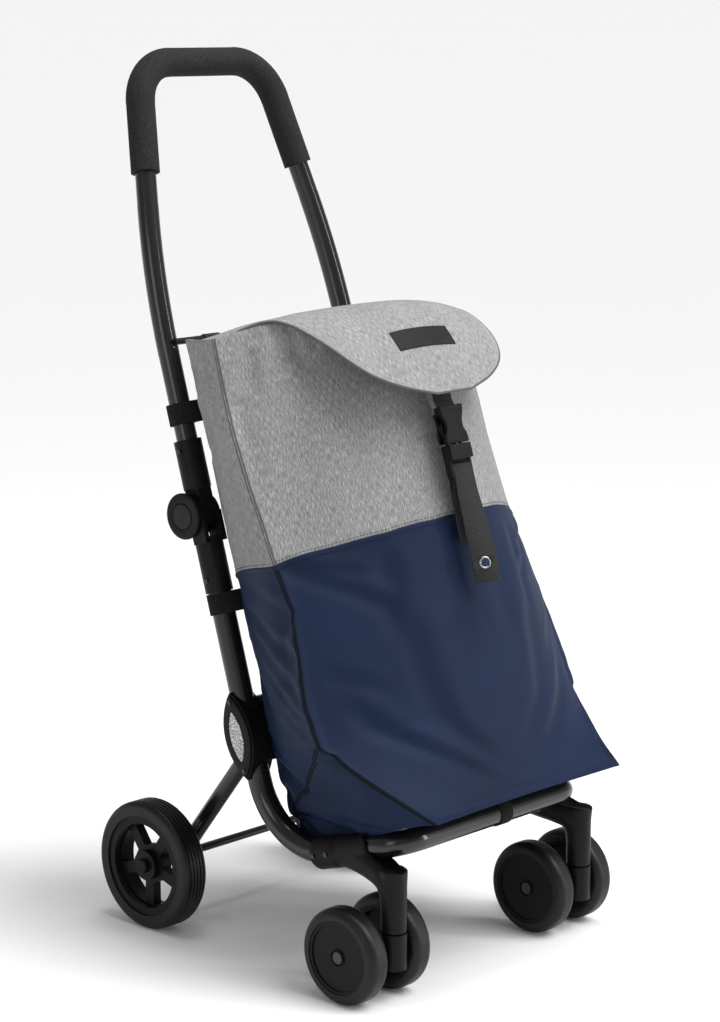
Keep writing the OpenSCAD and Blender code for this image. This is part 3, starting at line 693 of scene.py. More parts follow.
def hang(cloth):
    """The wall after it hangs and billows for a while, held at its rim, floor and straps."""
    rows, columns = cloth.shape[:2]
    points = lean(cloth)
    start = new_object("hanging", points, grid_faces(rows, columns, ring=True),
                       MATERIALS["navy_fabric"])
    held = np.zeros((rows, columns))
    held[0], held[-1], held[-2] = 1, 1, 0.8
    seams, corners = [SEAM_COLUMN, -SEAM_COLUMN], [CORNER_COLUMN, -CORNER_COLUMN]
    back = np.r_[0:CORNER_COLUMN, columns - CORNER_COLUMN + 1:columns]
    for where, weight in ((seams, SEAM_HOLD), (corners, CORNER_HOLD), (back, BACK_HOLD)):
        held[:, where] = np.maximum(held[:, where], weight)
    group = start.vertex_groups.new(name="held")
    for i, weight in enumerate(held.ravel()):
        if weight > 0:
            group.add([i], float(weight), "REPLACE")
    cloth_mod = modifier(start, "CLOTH")
    s = cloth_mod.settings
    s.quality = 6
    s.mass = 0.25
    s.tension_stiffness = s.compression_stiffness = 18
    s.shear_stiffness = 6
    s.bending_stiffness = 0.6
    s.air_damping = 2
    s.vertex_group_mass = "held"
    s.pin_stiffness = 1
    s.shrink_min = -0.03
    s.use_pressure = True
    s.uniform_pressure_force = 0.6
    cloth_mod.collision_settings.use_collision = False
    cloth_mod.point_cache.frame_end = HANG_FRAMES
    scene = bpy.context.scene
    for number in range(1, HANG_FRAMES + 1):
        scene.frame_set(number)
    made = start.evaluated_get(bpy.context.evaluated_depsgraph_get()).to_mesh()
    settled = np.zeros(len(made.vertices) * 3)
    made.vertices.foreach_get("co", settled)
    scene.frame_set(1)
    bpy.data.objects.remove(start)
    moved = settled.reshape(points.shape) - points
    length = np.linalg.norm(moved, axis=-1, keepdims=True)
    return points + moved * np.minimum(1, MOST_MOVED / np.maximum(length, 1e-9))


# Soft folds of the left side as starts, ends, width and depth. The first of each place is
# millimetres of cloth in front of the seam, and the second is height v.
FOLDS = [
    ((-118, 160), (-10, 128), 9, 2.6),
    ((-135, 130), (-6, 70), 10, 3.6),
    ((-128, 96), (-10, 30), 9, 3.2),
    ((-118, 60), (-8, -4), 8, 3.0),
    ((-104, 28), (-4, -26), 8, 3.0),
    ((-92, -12), (-18, -84), 9, 2.4),
    ((4, 172), (92, 142), 9, 2.4),
    ((6, 166), (120, 96), 11, 3.0),
    ((30, 40), (92, 12), 12, 1.8),
    ((44, 4), (146, -118), 15, 3.8),
    ((126, 168), (112, 70), 16, 2.6),
    ((128, 96), (160, -96), 20, 3.4),
    ((190, 140), (205, 40), 22, 2.6),
    ((-60, 420), (-70, 330), 12, 2.0),
    ((-120, 400), (-126, 250), 12, 2.0),
]


def crease(c, v, start, end, width, depth):
    """Height of a soft valley with a ridge beside it, from start to end on flat cloth."""
    a, b = np.array(start, float), np.array(end, float)
    run = np.linalg.norm(b - a)
    along = (b - a) / run
    s = ((c - a[0]) * along[0] + (v - a[1]) * along[1]) / run
    t = ((v - a[1]) * along[0] - (c - a[0]) * along[1]) / width
    fade = np.clip(np.minimum(s + 0.12, 1.12 - s) * 3.2, 0, 1)
    fade = fade * fade * (3 - 2 * fade)
    return depth * fade * (0.65 * np.exp(-(t - 1.35) ** 2) - np.exp(-t ** 2))


def fold_height(cloth):
    """How far the folds lift each point of the refined wall, in metres."""
    columns = cloth.shape[1]
    along, total = round_lengths(cloth)
    seam = SEAM_COLUMN * FINE
    right = along - along[:, seam:seam + 1]
    left = (total - along) - (total - along[:, columns - seam:columns - seam + 1])
    v = cloth[..., 1]
    lift = np.zeros(v.shape)
    rng = np.random.default_rng(SEED)
    half = columns // 2
    for start, end, width, depth in FOLDS:
        lift[:, half:] += crease(left[:, half:], v[:, half:], start, end, width, depth)
        shift = rng.uniform(-9, 9, 4)
        lift[:, :half] += crease(
            right[:, :half], v[:, :half], (start[0] + shift[0], start[1] + shift[1]),
            (end[0] + shift[2], end[1] + shift[3]), width * rng.uniform(0.85, 1.2),
            depth * rng.uniform(0.6, 1.1))
    return lift * MM


def set_weave(piece, places, period=None):
    """Stores each point's place on the flat cloth, in metres, for the weave to follow."""
    mesh = piece.data
    corners = np.zeros(len(mesh.loops), int)
    mesh.loops.foreach_get("vertex_index", corners)
    uv = np.asarray(places, float).reshape(-1, 2)[corners]
    if period:
        first = np.array([p.loop_start for p in mesh.polygons])
        size = np.array([p.loop_total for p in mesh.polygons])
        high = np.repeat(np.maximum.reduceat(uv[:, 0], first), size)
        uv[:, 0] += np.where(high - uv[:, 0] > period / 2, period, 0)
    layer = mesh.uv_layers.new(name="weave")
    layer.data.foreach_set("uv", uv.ravel())


FLOOR_SAG = 0.003
CLOTH_THICKNESS = 0.0014


def build_bag():
    """The grey shell, and the navy shell with its bottom. Returns the wall's surface."""
    cloth = bag_cloth()
    settled = hang(cloth)
    wall = refine(refine(settled, FINE, 0), FINE, 1, ring=True)
    flat = refine(refine(cloth, FINE, 0), FINE, 1, ring=True)
    rows, columns = wall.shape[:2]
    smooth = Surface(wall, ring=True)
    ends = np.clip(np.minimum(np.arange(rows), rows - 1 - np.arange(rows)) / 9, 0, 1)
    wall = wall + smooth.normals * (fold_height(flat) * ends[:, None])[..., None]
    surface = Surface(wall, ring=True)
    around, total = round_lengths(flat)
    mean = total.mean()
    weave = np.stack([around * (mean / total), flat[..., 1]], -1) * MM
    period = mean * MM
    join = LOWER_N * FINE

    upper = new_object(
        "bag_grey_shell", wall[join:], grid_faces(rows - join, columns, ring=True),
        MATERIALS["grey_fabric"], "frame", "grey_fabric")
    set_weave(upper, weave[join:], period)
    middle = wall[0].mean(0)
    floor = np.array([middle + (wall[0] - middle) * share - [0, 0, FLOOR_SAG * (1 - share)]
                      for share in (0.12, 0.3, 0.5, 0.7, 0.9)])
    lower_points = np.concatenate([floor, wall[:join + 1]])
    lower = new_object(
        "bag_navy_shell", lower_points,
        grid_faces(len(lower_points), columns, ring=True) + [tuple(range(columns))],
        MATERIALS["navy_fabric"], "frame", "navy_fabric")
    set_weave(lower, np.concatenate([floor[..., :2], weave[:join + 1]]))
    for shell, node in ((upper, "bag_upper_panel"), (lower, "bag_lower_panel")):
        modifier(shell, "SOLIDIFY", thickness=CLOTH_THICKNESS, offset=-1)
        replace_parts(shell, node)
    return surface


# The navy's folded edge over the grey: distance down from the join and height
JOIN_PROFILE = [(0.0, 0.0009), (0.0012, 0.0011), (0.0024, 0.0009), (0.0034, -0.0006)]


STITCH_INSET = 0.0042


def seam_piece(name, parts, material, slot):
    new_object(name, *joined(parts), material, "frame", slot)


def build_seams(surface):
    """The sewn seams of the bag, each a raised double lip that follows the cloth."""
    rows, columns = surface.points.shape[:2]
    join, top = LOWER_N * FINE, rows - 1
    corner_row = np.interp(CORNER_V, (FLOOR_V, JOIN_V), (0, join))
    grey, navy = [], []
    for seam, fold in ((SEAM_COLUMN * FINE, CORNER_COLUMN * FINE),
                       (columns - SEAM_COLUMN * FINE, columns - CORNER_COLUMN * FINE)):
        halfway, back = (fold + (seam - fold) * share for share in (0.46, 0.08))
        gusset = [(corner_row, seam), (corner_row / 2, halfway), (0.1, back)]
        for into, path, count, scale in (
                (grey, [(join, seam), (top - 0.1, seam)], 120, 0.6),
                (navy, [(0.1, seam), (join, seam)], 150, 0.6),
                (navy, gusset, 60, 0.7),
                (grey, [(join, fold), (top - 0.1, fold)], 80, 0.55)):
            into.append(seam_strip(surface, *path_on(surface, path, count), scale=scale))
    row, column = path_on(surface, [(join, 0), (join, columns / 2), (join, columns - 0.01)], 520)
    hem = seam_strip(surface, row - 0.6, column, JOIN_PROFILE)
    thread = stitches(surface, row, column, -STITCH_INSET)
    seam_piece("navy_hem", [hem], MATERIALS["navy_fabric"], "navy_fabric")
    seam_piece("grey_seams", grey, SEAM_GREY, "grey_fabric")
    seam_piece("navy_seams", navy, SEAM_NAVY, "navy_fabric")
    seam_piece("join_stitches", [thread], NAVY_THREAD, "navy_fabric")


# ---- Flap ---------------------------------------------------------------------------
# w and v of each row's middle, half of its width, then w and v of its edge. The first row
# is the part that is sewn to the bag's back, behind the hinge.
FLAP_ROWS = [
    (19, 434, 130, 20, 431),
    (24, 447, 137, 24, 446),
    (80, 456, 175, 80, 442),
    (134, 454, 197, 132, 434),
    (174, 451, 160, 171, 444),
    (204, 446, 146, 197, 434),
    (232, 434, 138, 222, 415),
    (252, 415, 132, 243, 397),
    (267, 393, 123, 262, 377),
    (281, 363, 104, 279, 354),
    (290, 339, 68, 291, 335),
    (295, 323, 24, 296, 323),
]
FLAP_COLUMNS = 49
FLAP_FINE = 6
FRONT_X = -10  # sideways place of the tongue, the buckle and its webbing


def evened(points, passes):
    """Rows averaged with their neighbours, with the first and last rows kept."""
    for _ in range(passes):
        points = points.copy()
        points[1:-1] = (points[:-2] + 2 * points[1:-1] + points[2:]) / 4
    return points


def flap_surface():
    """The flap's upper face, from the bag's back over to the tongue at the front."""
    u = np.sin(np.linspace(-1, 1, FLAP_COLUMNS) * math.pi / 2)[None, :]
    w, v, half, edge_w, edge_v = (c[:, None] for c in refine(
        np.array(FLAP_ROWS, float), FLAP_FINE, 0).T)
    points = np.stack([u * half, v + u ** 2 * (edge_v - v), w + u ** 2 * (edge_w - w)], -1)
    points = evened(points, 5)
    # The tongue hangs a little to the left, and the right shoulder droops
    points[..., 0] += FRONT_X * (1 - np.clip(u, 0, 1) ** 2) * np.clip(
        (points[..., 2] - 190) / 90, 0, 1) ** 1.5
    points[..., 1] -= 9 * np.clip(u, 0, 1) ** 3 * np.exp(-((points[..., 2] - 182) / 28) ** 2)
    # The cloth lies unevenly: a shallow dip at the middle and a soft roll at each side
    x, depth = points[..., 0], points[..., 2]
    roll = np.exp(-((np.abs(x) - 108) / 26) ** 2) - 0.8 * np.exp(-(x / 60) ** 2)
    points[..., 1] += 2.2 * roll * np.exp(-((depth - 100) / 60) ** 2)
    return Surface(lean(points))


def slab(top, bottom):
    """A closed sheet between two grids of points that match, as points and faces."""
    rows, columns = top.shape[:2]
    n = rows * columns
    faces = grid_faces(rows, columns)
    faces += [tuple(i + n for i in f) for f in grid_faces(rows, columns, flip=True)]
    rim = list(range(columns)) + [r * columns + columns - 1 for r in range(1, rows)]
    rim += list(range(n - 2, n - columns - 1, -1)) + [
        r * columns for r in range(rows - 2, 0, -1)]
    faces += [(a, b, b + n, a + n) for a, b in zip(rim, rim[1:] + rim[:1])]
    return np.concatenate([top.reshape(-1, 3), bottom.reshape(-1, 3)]), faces


def closed_piece(name, parts, material, body, slot, smooth=True):
    """A piece from closed parts, each turned so that its faces look outwards."""
    points, faces = joined(parts)
    piece = new_object(name, points, faces, material, None, slot, smooth)
    mesh = bmesh.new()
    mesh.from_mesh(piece.data)
    bmesh.ops.recalc_face_normals(mesh, faces=mesh.faces)
    mesh.to_mesh(piece.data)
    mesh.free()
    if body:
        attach(piece, body)
    return piece


def flap_edge(surface):
    """Rows and columns of a line round the flap's free edge."""
    rows, columns = surface.points.shape[:2]
    first, last, right = 2 * FLAP_FINE, rows - 1, columns - 1
    row = np.concatenate([np.arange(first, last), np.full(columns, last),
                          np.arange(last - 1, first - 1, -1)]).astype(float)
    column = np.concatenate([np.zeros(last - first), np.arange(columns),
                             np.full(last - first, right)]).astype(float)
    length = lengths(surface.at(row, column))
    at = np.linspace(0, length[-1], 420)
    return np.interp(at, length, row), np.interp(at, length, column)


def inset_edge(surface, inset):
    """Points and normals of a line on the cloth, an even distance in from the free edge."""
    row, column = flap_edge(surface)
    edge = surface.at(row, column)
    ahead = unit(evened(np.gradient(edge, axis=0), 12))
    side = unit(np.cross(surface.normal(row, column), ahead))
    inwards = np.sign((side * (surface.points.mean((0, 1)) - edge)).sum())
    wanted = edge + side * inwards * inset
    fine_row, fine_column = np.meshgrid(
        np.arange(0, surface.points.shape[0] - 1, 0.5),
        np.arange(0, surface.points.shape[1] - 1, 0.5), indexing="ij")
    places = surface.at(fine_row, fine_column).reshape(-1, 3)
    normals = surface.normal(fine_row, fine_column).reshape(-1, 3)
    nearest = np.array([((places - place) ** 2).sum(1).argmin() for place in wanted])
    normals = unit(evened(normals[nearest], 4))
    over = ((wanted - places[nearest]) * normals).sum(-1, keepdims=True)
    return wanted - normals * (over - 0.0001), normals


def build_flap():
    surface = flap_surface()
    place = surface.points
    across = np.linalg.norm(np.diff(place, axis=1), axis=-1)
    x = np.concatenate([np.zeros((len(place), 1)), np.cumsum(across, 1)], 1)
    x -= x[:, FLAP_COLUMNS // 2:FLAP_COLUMNS // 2 + 1]
    y = lengths(place[:, FLAP_COLUMNS // 2])[:, None] + 0 * x
    weave = np.stack([x, y], -1)
    layers = []
    for name, top, bottom, material in (
            ("flap_cloth", 0.0, -0.0011, MATERIALS["grey_fabric"]),
            # The underside layer's dark heather is painted shade from the flap's overhang
            ("flap_underside_shade", -0.0012, -0.0022, FLAP_UNDERSIDE_SHADE)):
        points, faces = slab(place + surface.normals * top, place + surface.normals * bottom)
        layer = closed_piece(name, [(points, faces)], material, None, "grey_fabric")
        set_weave(layer, np.concatenate([weave, weave]))
        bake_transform(layer)
        layers.append(layer)
    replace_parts(layers[0], "flap")
    row, column = flap_edge(surface)
    hem = closed_piece(
        "flap_hem", [tube(surface.at(row, column, -0.0011), 0.0015, 8)], SEAM_GREY, None,
        "grey_fabric")
    line, normals = inset_edge(surface, 0.0062)
    thread = closed_piece("flap_stitches", [dashes(line, normals, 0.0036, 0.0003, 0.66)],
                          GREY_THREAD, None, "grey_fabric")
    for piece in (hem, thread):
        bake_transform(piece)
    build_patch(surface)


PATCH_W, PATCH_H, PATCH_V = 97, 28, 392


def build_patch(surface):
    """A blank rubber label with a raised rim, sewn on the flap's slope."""
    middle = surface.points[:, FLAP_COLUMNS // 2]
    run = lengths(middle)
    height = (middle - lean([(0, 0, 0)])[0]) @ np.array([0, SIN, COS]) / MM
    front = height[30:]
    centre = np.interp(-PATCH_V, -front, run[30:])
    a, b = np.meshgrid(np.linspace(-1, 1, 61), np.linspace(-1, 1, 25))
    x, y = a * PATCH_W / 2, b * PATCH_H / 2
    corner = 2.2
    over_x = np.maximum(np.abs(x) - PATCH_W / 2 + corner, 0)
    over_y = np.maximum(np.abs(y) - PATCH_H / 2 + corner, 0)
    pull = np.maximum(over_x, over_y) / np.maximum(np.hypot(over_x, over_y), 1e-6)
    pull = np.where((over_x > 0) & (over_y > 0), pull, 1)
    x = np.sign(x) * (np.abs(x) - over_x * (1 - pull))
    y = np.sign(y) * (np.abs(y) - over_y * (1 - pull))
    inside = np.minimum(PATCH_W / 2 - np.abs(x), PATCH_H / 2 - np.abs(y))
    lift = 1.9 * np.clip(inside / 0.8, 0, 1) ** 0.5 - 0.6 * np.clip((inside - 1.6) / 0.6, 0, 1)
    row = np.interp(centre - y * MM, run, np.arange(len(run)))
    right, left = surface.at(row, row * 0 + FLAP_COLUMNS - 1), surface.at(row, row * 0)
    u = np.clip(x * MM / np.linalg.norm((right - left) / 2, axis=-1), -1, 1)
    column = (np.arcsin(u) / (math.pi / 2) + 1) / 2 * (FLAP_COLUMNS - 1)
    top = surface.at(row, column, lift * MM)
    bottom = surface.at(row, column, -0.0004)
    patch = closed_piece("blank_patch", [slab(top, bottom)], RUBBER_PATCH, "flap",
                         "black_plastic")
    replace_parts(patch, "flap_patch")


# ---- Buckle -------------------------------------------------------------------------


def prism(outline, w_low, w_high):
    """A flat piece with an outline of x, v points, between two values of w."""
    n = len(outline)
    ends = [lean([(x + FRONT_X, v, w) for x, v in outline]) for w in (w_low, w_high)]
    faces = [tuple(range(n)), tuple(range(2 * n - 1, n - 1, -1))]
    faces += [(i, (i + 1) % n, (i + 1) % n + n, i + n) for i in range(n)]
    return np.concatenate(ends), faces


def plate(outline, w_low, w_high, factor=1):
    """A prism whose outline is mirrored across x = 0."""
    half = np.array(outline, float)
    half = refine(half, factor, 0) if factor > 1 else half
    return prism(np.concatenate([half, half[::-1] * (-1, 1)]), w_low, w_high)


def block(x, v, w):
    """A box between two values along each leaning axis."""
    points = lean([(a + FRONT_X, b, c) for c in w for b in v for a in x])
    faces = [(0, 1, 3, 2), (4, 6, 7, 5), (0, 4, 5, 1), (2, 3, 7, 6), (0, 2, 6, 4), (1, 5, 7, 3)]
    return points, faces


def bar(half_x, v, w, radius):
    """A round bar across x."""
    line = np.linspace(-half_x, half_x, 9)
    return tube(lean([(x + FRONT_X, v, w) for x in line]), radius * MM, 16)


def moulded(piece, width, segments=3):
    modifier(piece, "BEVEL", width=width * MM, segments=segments, limit_method="ANGLE",
             angle_limit=math.radians(38), harden_normals=True)
    return piece


FEMALE_EDGE = [(19, 308), (19, 303), (17.6, 298), (15, 292), (13.6, 286), (14.5, 280),
               (17.5, 275), (18.5, 270), (18.5, 264)]


def build_buckle():
    """A side-release buckle: the half on the flap, and the half with the ladder lock."""
    plastic = MATERIALS["black_plastic"], "flap", "black_plastic"
    female = [
        plate(FEMALE_EDGE, 284.6, 289.6, 3),
        plate([(18.5, 300), (17, 292), (16, 284), (18, 274), (18, 265)], 274.4, 277.6, 3),
        plate([(11, 304), (10.5, 290), (11, 272)], 277, 285.2),
        block((-17, 17), (297, 307.5), (277, 288)),
    ]
    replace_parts(moulded(closed_piece("buckle_socket", female, *plastic), 1.1), "buckle_female")
    ribs = [bar(15.5, 266.4, 289.8, 0.5), bar(16.5, 301.5, 289.6, 0.55)]
    closed_piece("buckle_socket_ribs", ribs, *plastic)
    prong = [(12, 261), (13.6, 270), (17.4, 281), (16.6, 288), (13, 291), (11.8, 288), (13, 281),
             (10.4, 270), (9, 261)]
    prong = refine(np.array(prong, float), 3, 0)
    male = [
        prism(prong, 279.2, 283.4),
        prism(prong * (-1, 1), 279.2, 283.4),
        plate([(4, 261), (3.4, 276), (2, 279)], 279.6, 283, 2),
        plate([(17, 263), (18, 261), (18, 247), (17.2, 245.5)], 285.6, 291.4),
        plate([(17, 263), (18, 261), (18, 252), (17.4, 250.5)], 277, 286),
        block((14.6, 18), (226, 252), (277.5, 286.5)),
        block((-18, -14.6), (226, 252), (277.5, 286.5)),
        bar(16.5, 228.2, 280.2, 2.5),
        bar(16.5, 240.5, 284.6, 2.6),
    ]
    clip = moulded(closed_piece("buckle_clip", male, MATERIALS["black_plastic"], "buckle",
                                "black_plastic"), 0.9)
    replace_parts(clip, "buckle_male")


# ---- Webbing ------------------------------------------------------------------------

WEB_W, WEB_T = 30, 1.5
EYELET_V = 124.5
# Height v, w and turn of the middle of each strap
TAIL_ROUTE = [(236, 277.6, 0), (243, 278, 0), (247.4, 281, 0), (244, 284.4, 1),
              (234, 287, 2), (224, 287.4, 4), (208, 287, 8), (190, 287.5, 14),
              (172, 288.5, 20), (150, 289.5, 27), (135, 290, 31), (120, 290, 34),
              (111, 289.8, 36), (102, 289.6, 36)]
ANCHOR_ROUTE = [(152, 273.6, 0), (170, 274.2, 0), (190, 274.6, 0), (210, 275, 0),
                (224, 276.4, 0), (229, 276.6, 0), (232.4, 279.6, 0), (229.6, 283.6, 0),
                (224.8, 283.6, 0), (216, 280, 0), (204, 277.2, 0), (190, 276.2, 0)]
FLAP_WEB_ROUTE = [(338, 279.4, 0), (326, 278.6, 0), (316, 279, 0), (309, 280.6, 0),
                  (300, 282, 0)]


def front_strap(route, width, thickness):
    return lean_strap([(FRONT_X, *place) for place in route], width, thickness)


def lathe(profile, centre, axis, steps=40):
    """A turned ring from a closed profile of (radius, height) in metres."""
    axis = unit(np.asarray(axis, float))
    a = unit(np.cross(axis, [0.3, 0.5, 0.8]))
    b = np.cross(axis, a)
    turn = np.arange(steps) * 2 * math.pi / steps
    rings = [[centre + axis * h + r * (a * math.cos(t) + b * math.sin(t)) for r, h in profile]
             for t in turn]
    n = len(profile)
    faces = grid_faces(steps, n, ring=True)
    last = (steps - 1) * n
    faces += [(last + i, i, (i + 1) % n, last + (i + 1) % n) for i in range(n)]
    return np.array(rings), faces


def applied(piece):
    """Turns a piece's modifiers into its mesh."""
    made = bpy.data.meshes.new_from_object(
        piece.evaluated_get(bpy.context.evaluated_depsgraph_get()))
    piece.modifiers.clear()
    piece.data = made
    return piece


def build_webbing():
    web = MATERIALS["black_webbing"]
    route = [(FRONT_X, *place) for place in TAIL_ROUTE]
    middle, side, normal = strap_frame(route)
    hem = slice(len(middle) - 12, len(middle))
    under = middle[hem] - normal[hem] * 1.7 * MM
    edge = middle[-1] - normal[-1] * 0.85 * MM
    roll = edge + side[-1] * np.linspace(-WEB_W / 2, WEB_W / 2, 5)[:, None] * MM
    tail = closed_piece(
        "strap_tail_webbing",
        [strap(middle, side, normal, WEB_W * MM, WEB_T * MM),
         strap(under, side[hem], normal[hem], WEB_W * MM, WEB_T * MM), tube(roll, 1.6 * MM, 12)],
        web, None, "black_webbing")
    height = (middle - lean((0, 0, 0))) @ [0, SIN, COS] / MM
    spot = np.argmin(np.abs(height - EYELET_V))
    centre, out = middle[spot], normal[spot]
    line = centre + np.linspace(-0.012, 0.012, 5)[:, None] * out
    cutter = closed_piece("cutter", [tube(line, 5.3 * MM, 32)], web, None, None)
    modifier(tail, "BOOLEAN", operation="DIFFERENCE", object=cutter, solver="EXACT")
    applied(tail)
    bpy.data.objects.remove(cutter)
    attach(tail, "buckle")
    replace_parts(tail, "strap_tail")
    rolled = [(4.8, -1.6), (4.8, 1.0), (5.3, 1.6), (6.0, 1.8), (6.8, 1.4), (7.2, 0.8),
              (5.9, 0.7), (5.8, -0.8), (7.2, -0.9), (6.8, -1.5), (6.0, -1.8)]
    ring = closed_piece("eyelet_ring", [lathe(np.array(rolled) * MM, centre, out)],
                        MATERIALS["chrome_eyelet"], "buckle", "chrome_eyelet")
    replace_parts(ring, "eyelet")
    anchor = closed_piece("anchor_webbing", [front_strap(ANCHOR_ROUTE, WEB_W, WEB_T)], web,
                          None, "black_webbing")
    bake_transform(anchor)
    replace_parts(anchor, "buckle_anchor_webbing")
    upper = closed_piece("flap_tab_webbing", [front_strap(FLAP_WEB_ROUTE, WEB_W, 1.8)], web,
                         "flap", "black_webbing")
    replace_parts(upper, "flap_webbing")
    closed_piece("webbing_stitches", tail_stitches(middle, side, out, height), BLACK_THREAD,
                 "buckle", "black_webbing")


def tail_stitches(middle, side, out, height):
    """Two rows of thread across the folded end of the strap."""
    parts = []
    for v in (105.5, 112.5):
        spot = np.argmin(np.abs(height - v))
        line = middle[spot] + out * 0.0009 + side[spot] * np.linspace(-12, 12, 30)[:, None] * MM
        parts.append(dashes(line, np.tile(out, (len(line), 1)), 0.0026, 0.00034, 0.7))
    return parts


# ---- Straps round the tubes ---------------------------------------------------------

TUBE_X, TUBE_R = 152.3, 14


def tube_loop(v_low, v_high, side):
    """A hook-and-loop band round a main tube, its end sewn to the bag's back corner."""
    turn = np.radians(np.arange(-200, 61, 10))
    ring = TUBE_R + 1.7
    start = [(TUBE_X - 26, 19.0), (TUBE_X - 20, 15.6)]
    loop = [(TUBE_X + ring * math.cos(t), ring * math.sin(t)) for t in turn]
    tip = [(TUBE_X + 2, 17.6), (TUBE_X - 8, 19.8), (TUBE_X - 22, 20.4)]
    x, w = refine(np.array(start + loop + tip), 3, 0).T
    middle = lean(np.column_stack([x * side, np.full(len(x), (v_low + v_high) / 2), w]))
    ahead = unit(np.gradient(middle, axis=0))
    up = np.tile(np.array([0, SIN, COS]), (len(middle), 1))
    return strap(middle, up, np.cross(ahead, up), (v_high - v_low) * MM, 1.6 * MM)


def build_tube_straps():
    """Bands that hold the bag's back corners to the tubes, low down and on the handle."""
    for place, body, low, high in (("lower", "frame", 129, 154), ("upper", "handle", 356, 381)):
        bands = [tube_loop(low, high, side) for side in (-1, 1)]
        piece = closed_piece(f"{place}_tube_strap", bands, HOOK_AND_LOOP, body, "black_webbing")
        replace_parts(piece, f"{place}_straps")


def round_rod(x, v, w, radius, start, stop):
    """Places of a band's middle on an arc round a rod across x, between two angles."""
    turn = np.radians(np.arange(start, stop + 1, 12))
    return np.column_stack([np.full(len(turn), x), v + radius * np.sin(turn),
                            w + radius * np.cos(turn), 0 * turn])


def build_rod_straps():
    """The band round the cross tube, and the webbing loops that hang the bag on its rod."""
    centre = (16, BASE_V, CROSS_W)
    turns = round_rod(*centre, 1, -210, 230)
    radius = 14.7 + 1.3 * np.clip((np.arange(len(turns)) * 12 - 330) / 50, 0, 1)
    centre = (*centre, 0)
    band = closed_piece(
        "base_strap_band",
        [lean_strap(centre + (turns - centre) * radius[:, None], 20, 1.2)],
        HOOK_AND_LOOP, "frame", "black_webbing")
    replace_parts(band, "base_strap")
    loops = []
    for x in (-95, 0, 95):
        front = [(x, 418, 17.9, 0), (x, 432, 18.2, 0), (x, 443, 19.2, 0)]
        back = [(x, 443, 12.6, 0), (x, 432, 16.4, 0), (x, 418, 16.5, 0)]
        route = np.concatenate([front, round_rod(x, 452, 15, 4.8, -24, 204), back])
        loops.append(lean_strap(route, 25, 1.1))
    loops = closed_piece("hang_loop_webbing", loops, MATERIALS["black_webbing"], "handle",
                         "black_webbing")
    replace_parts(loops, "hang_loops")


# ---- Caster brackets ----------------------------------------------------------------

BASE_V, CROSS_W = -163, 205
CASTER_X, CASTER_Y = 165.4, -219.8
VOXELS, FINE_VOXELS = 0.0016, 0.0012


def solid(parts):
    """An unnamed closed object for joining or cutting."""
    return closed_piece("solid", parts, MATERIALS["black_plastic"], None, None)


def round_path(points, radii, sides=28, factor=6):
    """A tube of changing radius on a smooth path, in metres."""
    fine = refine(np.column_stack([points, radii]), factor, 0)
    return tube(fine[:, :3] * MM, fine[:, 3] * MM, sides)


def build_bracket(side, name, node):
    """The moulding from the base tube's sleeve down to the caster's stem, with its scoop."""
    tube_at = lean([(TUBE_X, BASE_V, w) for w in (75, 111, 165)]) / MM
    start, collar_end, sleeve_end = tube_at
    sleeve = round_path([start, (start + sleeve_end) / 2, sleeve_end], [18.3] * 3)
    collar = round_path([start, (start + collar_end) / 2, collar_end], [19.4] * 3)
    neck = round_path(
        [(152.3, -128, 154), (153, -150, 155), (155, -172, 154), (159, -193, 151),
         (163, -209, 145), (165, -217, 134), (CASTER_X, CASTER_Y, 118),
         (CASTER_X, CASTER_Y, 100), (CASTER_X, CASTER_Y, 84.2)],
        [15, 17, 18.4, 18.6, 17.8, 16.2, 15.2, 15, 15])
    lip = round_path([(CASTER_X, CASTER_Y, 110), (CASTER_X, CASTER_Y, 140),
                      (CASTER_X + 0.5, CASTER_Y - 0.8, 158)], [15, 15.2, 15.8])
    body = solid([sleeve, collar, neck, lip])
    modifier(body, "REMESH", mode="VOXEL", voxel_size=VOXELS)
    modifier(body, "SMOOTH", factor=0.5, iterations=6)
    applied(body)
    scoop = solid([round_path([(148, -176, 190), (155, -196, 176), (161, -210, 168),
                               (166, -224, 166), (171, -240, 168)],
                              [17, 17, 14, 11.5, 12])])
    bore = solid([round_path(lean([(TUBE_X, BASE_V, w) for w in (60, 110, 164)]) / MM,
                             [14.15] * 3)])
    for cutter in (scoop, bore):
        modifier(body, "BOOLEAN", operation="DIFFERENCE", object=cutter, solver="EXACT")
    applied(body)
    modifier(body, "REMESH", mode="VOXEL", voxel_size=FINE_VOXELS)
    modifier(body, "SMOOTH", factor=0.5, iterations=4)
    applied(body)
    for cutter in (scoop, bore):
        bpy.data.objects.remove(cutter)
    body.name = name
    if side < 0:
        for vertex in body.data.vertices:
            vertex.co.x *= -1
        body.data.flip_normals()
    shade_smooth(body.data)
    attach(body, "frame")
    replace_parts(body, node)


# ---- CAD nodes ----------------------------------------------------------------------

# Millimetres of rounding on each moulding that has a left and a right one
SOFT_EDGES = {"hinge_lower_casing": 1.2, "hinge_upper_casing": 1.2, "leg_housing": 1.6,
              "caster_fork": 1.0, "release_button": 0.8}


def soften_frame():
    """Small rounded edges on the mouldings, which the plain solids leave sharp."""
    widths = {f"{name}_{side}": width for name, width in SOFT_EDGES.items()
              for side in ("left", "right")}
    for name, width in {**widths, "hinge_covers": 0.8}.items():
        node = NODES[name]
        shade_smooth(node.data)
        modifier(node, "WELD", merge_threshold=0.00003)
        moulded(node, width)


# ---- Studio -------------------------------------------------------------------------


FLOOR_HALF = 900.0


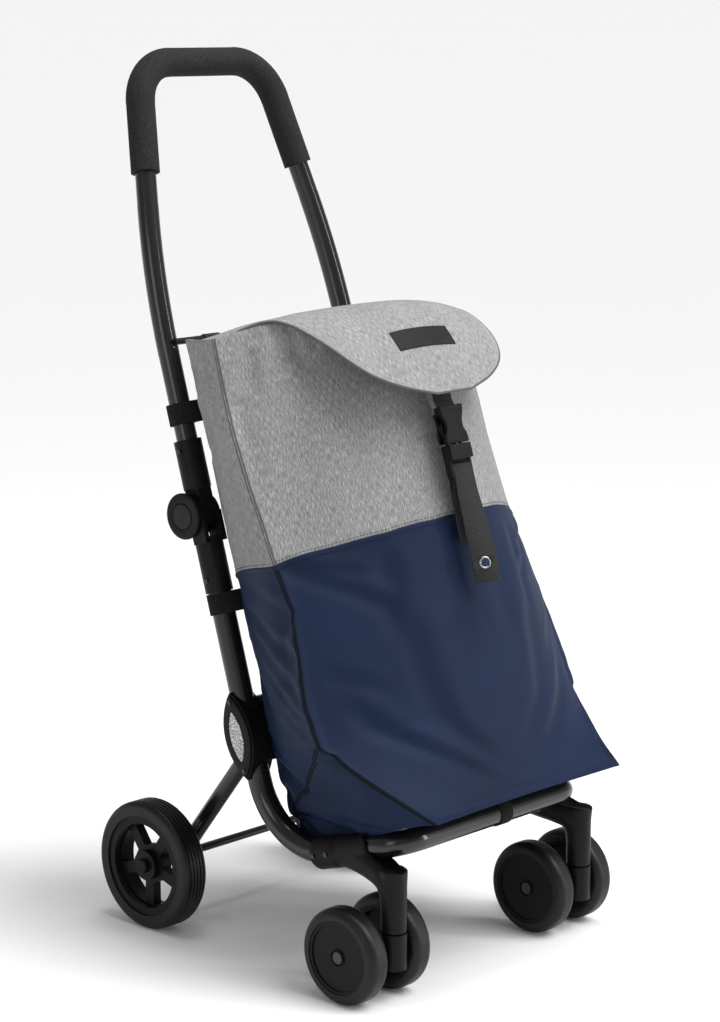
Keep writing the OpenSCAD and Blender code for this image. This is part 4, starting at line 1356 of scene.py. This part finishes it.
def build_floor():
    mesh = bpy.data.meshes.new("floor")
    mesh.from_pydata([(x * FLOOR_HALF, y * FLOOR_HALF, 0)
                      for x, y in ((-1, -1), (1, -1), (1, 1), (-1, 1))], [], [(0, 1, 2, 3)])
    floor = in_scene("floor", mesh)
    paint = Nodes("floor_paper", (0.92, 0.92, 0.922), 0.9, Specular_IOR_Level=0.1)
    paint.roughness(paint.noise(paint.coordinates(), 3, 3), 0.86, 0.95)
    mesh.materials.append(paint.material)


def build_world():
    """A dim room with a pale band at the horizon, so that the floor has no hard edge."""
    world = bpy.data.worlds.new("world")
    world.use_nodes = True
    tree = world.node_tree
    background = tree.nodes["Background"]
    where = tree.nodes.new("ShaderNodeTexCoord")
    split = tree.nodes.new("ShaderNodeSeparateXYZ")
    ramp = tree.nodes.new("ShaderNodeValToRGB")
    tree.links.new(where.outputs["Generated"], split.inputs[0])
    tree.links.new(split.outputs["Z"], ramp.inputs["Fac"])
    tree.links.new(ramp.outputs["Color"], background.inputs["Color"])
    low, high = ramp.color_ramp.elements
    low.position, low.color = 0.04, (0.905, 0.905, 0.908, 1)
    high.position, high.color = 0.2, (0.34, 0.34, 0.34, 1)
    bpy.context.scene.world = world


# Place, aim, width, height and power of each soft light
SOFT_LIGHTS = {
    "top": ((0.1, -0.2, 2.3), (0, 0, 0.5), 1.2, None, 26),
    "strip": ((1.7, -2.6, 1.0), (0, 0, 0.6), 0.25, 2.2, 30),
    "fill": ((-3.2, -0.6, 1.6), (0, 0, 0.5), 1.4, None, 12),
}
SUN_DIRECTION, SUN_POWER, SUN_SPREAD = (-0.42, 1.0, -1.5), 2.55, math.radians(35)


def build_studio():
    build_floor()
    build_world()
    key = bpy.data.lights.new("key", "SUN")
    key.energy, key.angle = SUN_POWER, SUN_SPREAD
    aimed("key", key, (0, 0, 0), SUN_DIRECTION)
    for name, (place, aim, width, height, power) in SOFT_LIGHTS.items():
        light = bpy.data.lights.new(name, "AREA")
        light.energy, light.size = power, width
        if height:
            light.shape, light.size_y = "RECTANGLE", height
        aimed(name, light, place, Vector(aim) - Vector(place))
    bpy.context.scene.view_settings.view_transform = "Standard"


surface = build_bag()
build_seams(surface)
build_flap()
build_buckle()
build_webbing()
build_tube_straps()
build_rod_straps()
build_bracket(-1, "bracket_shell_left", "caster_bracket_left")
build_bracket(1, "bracket_shell_right", "caster_bracket_right")
soften_frame()
build_studio()
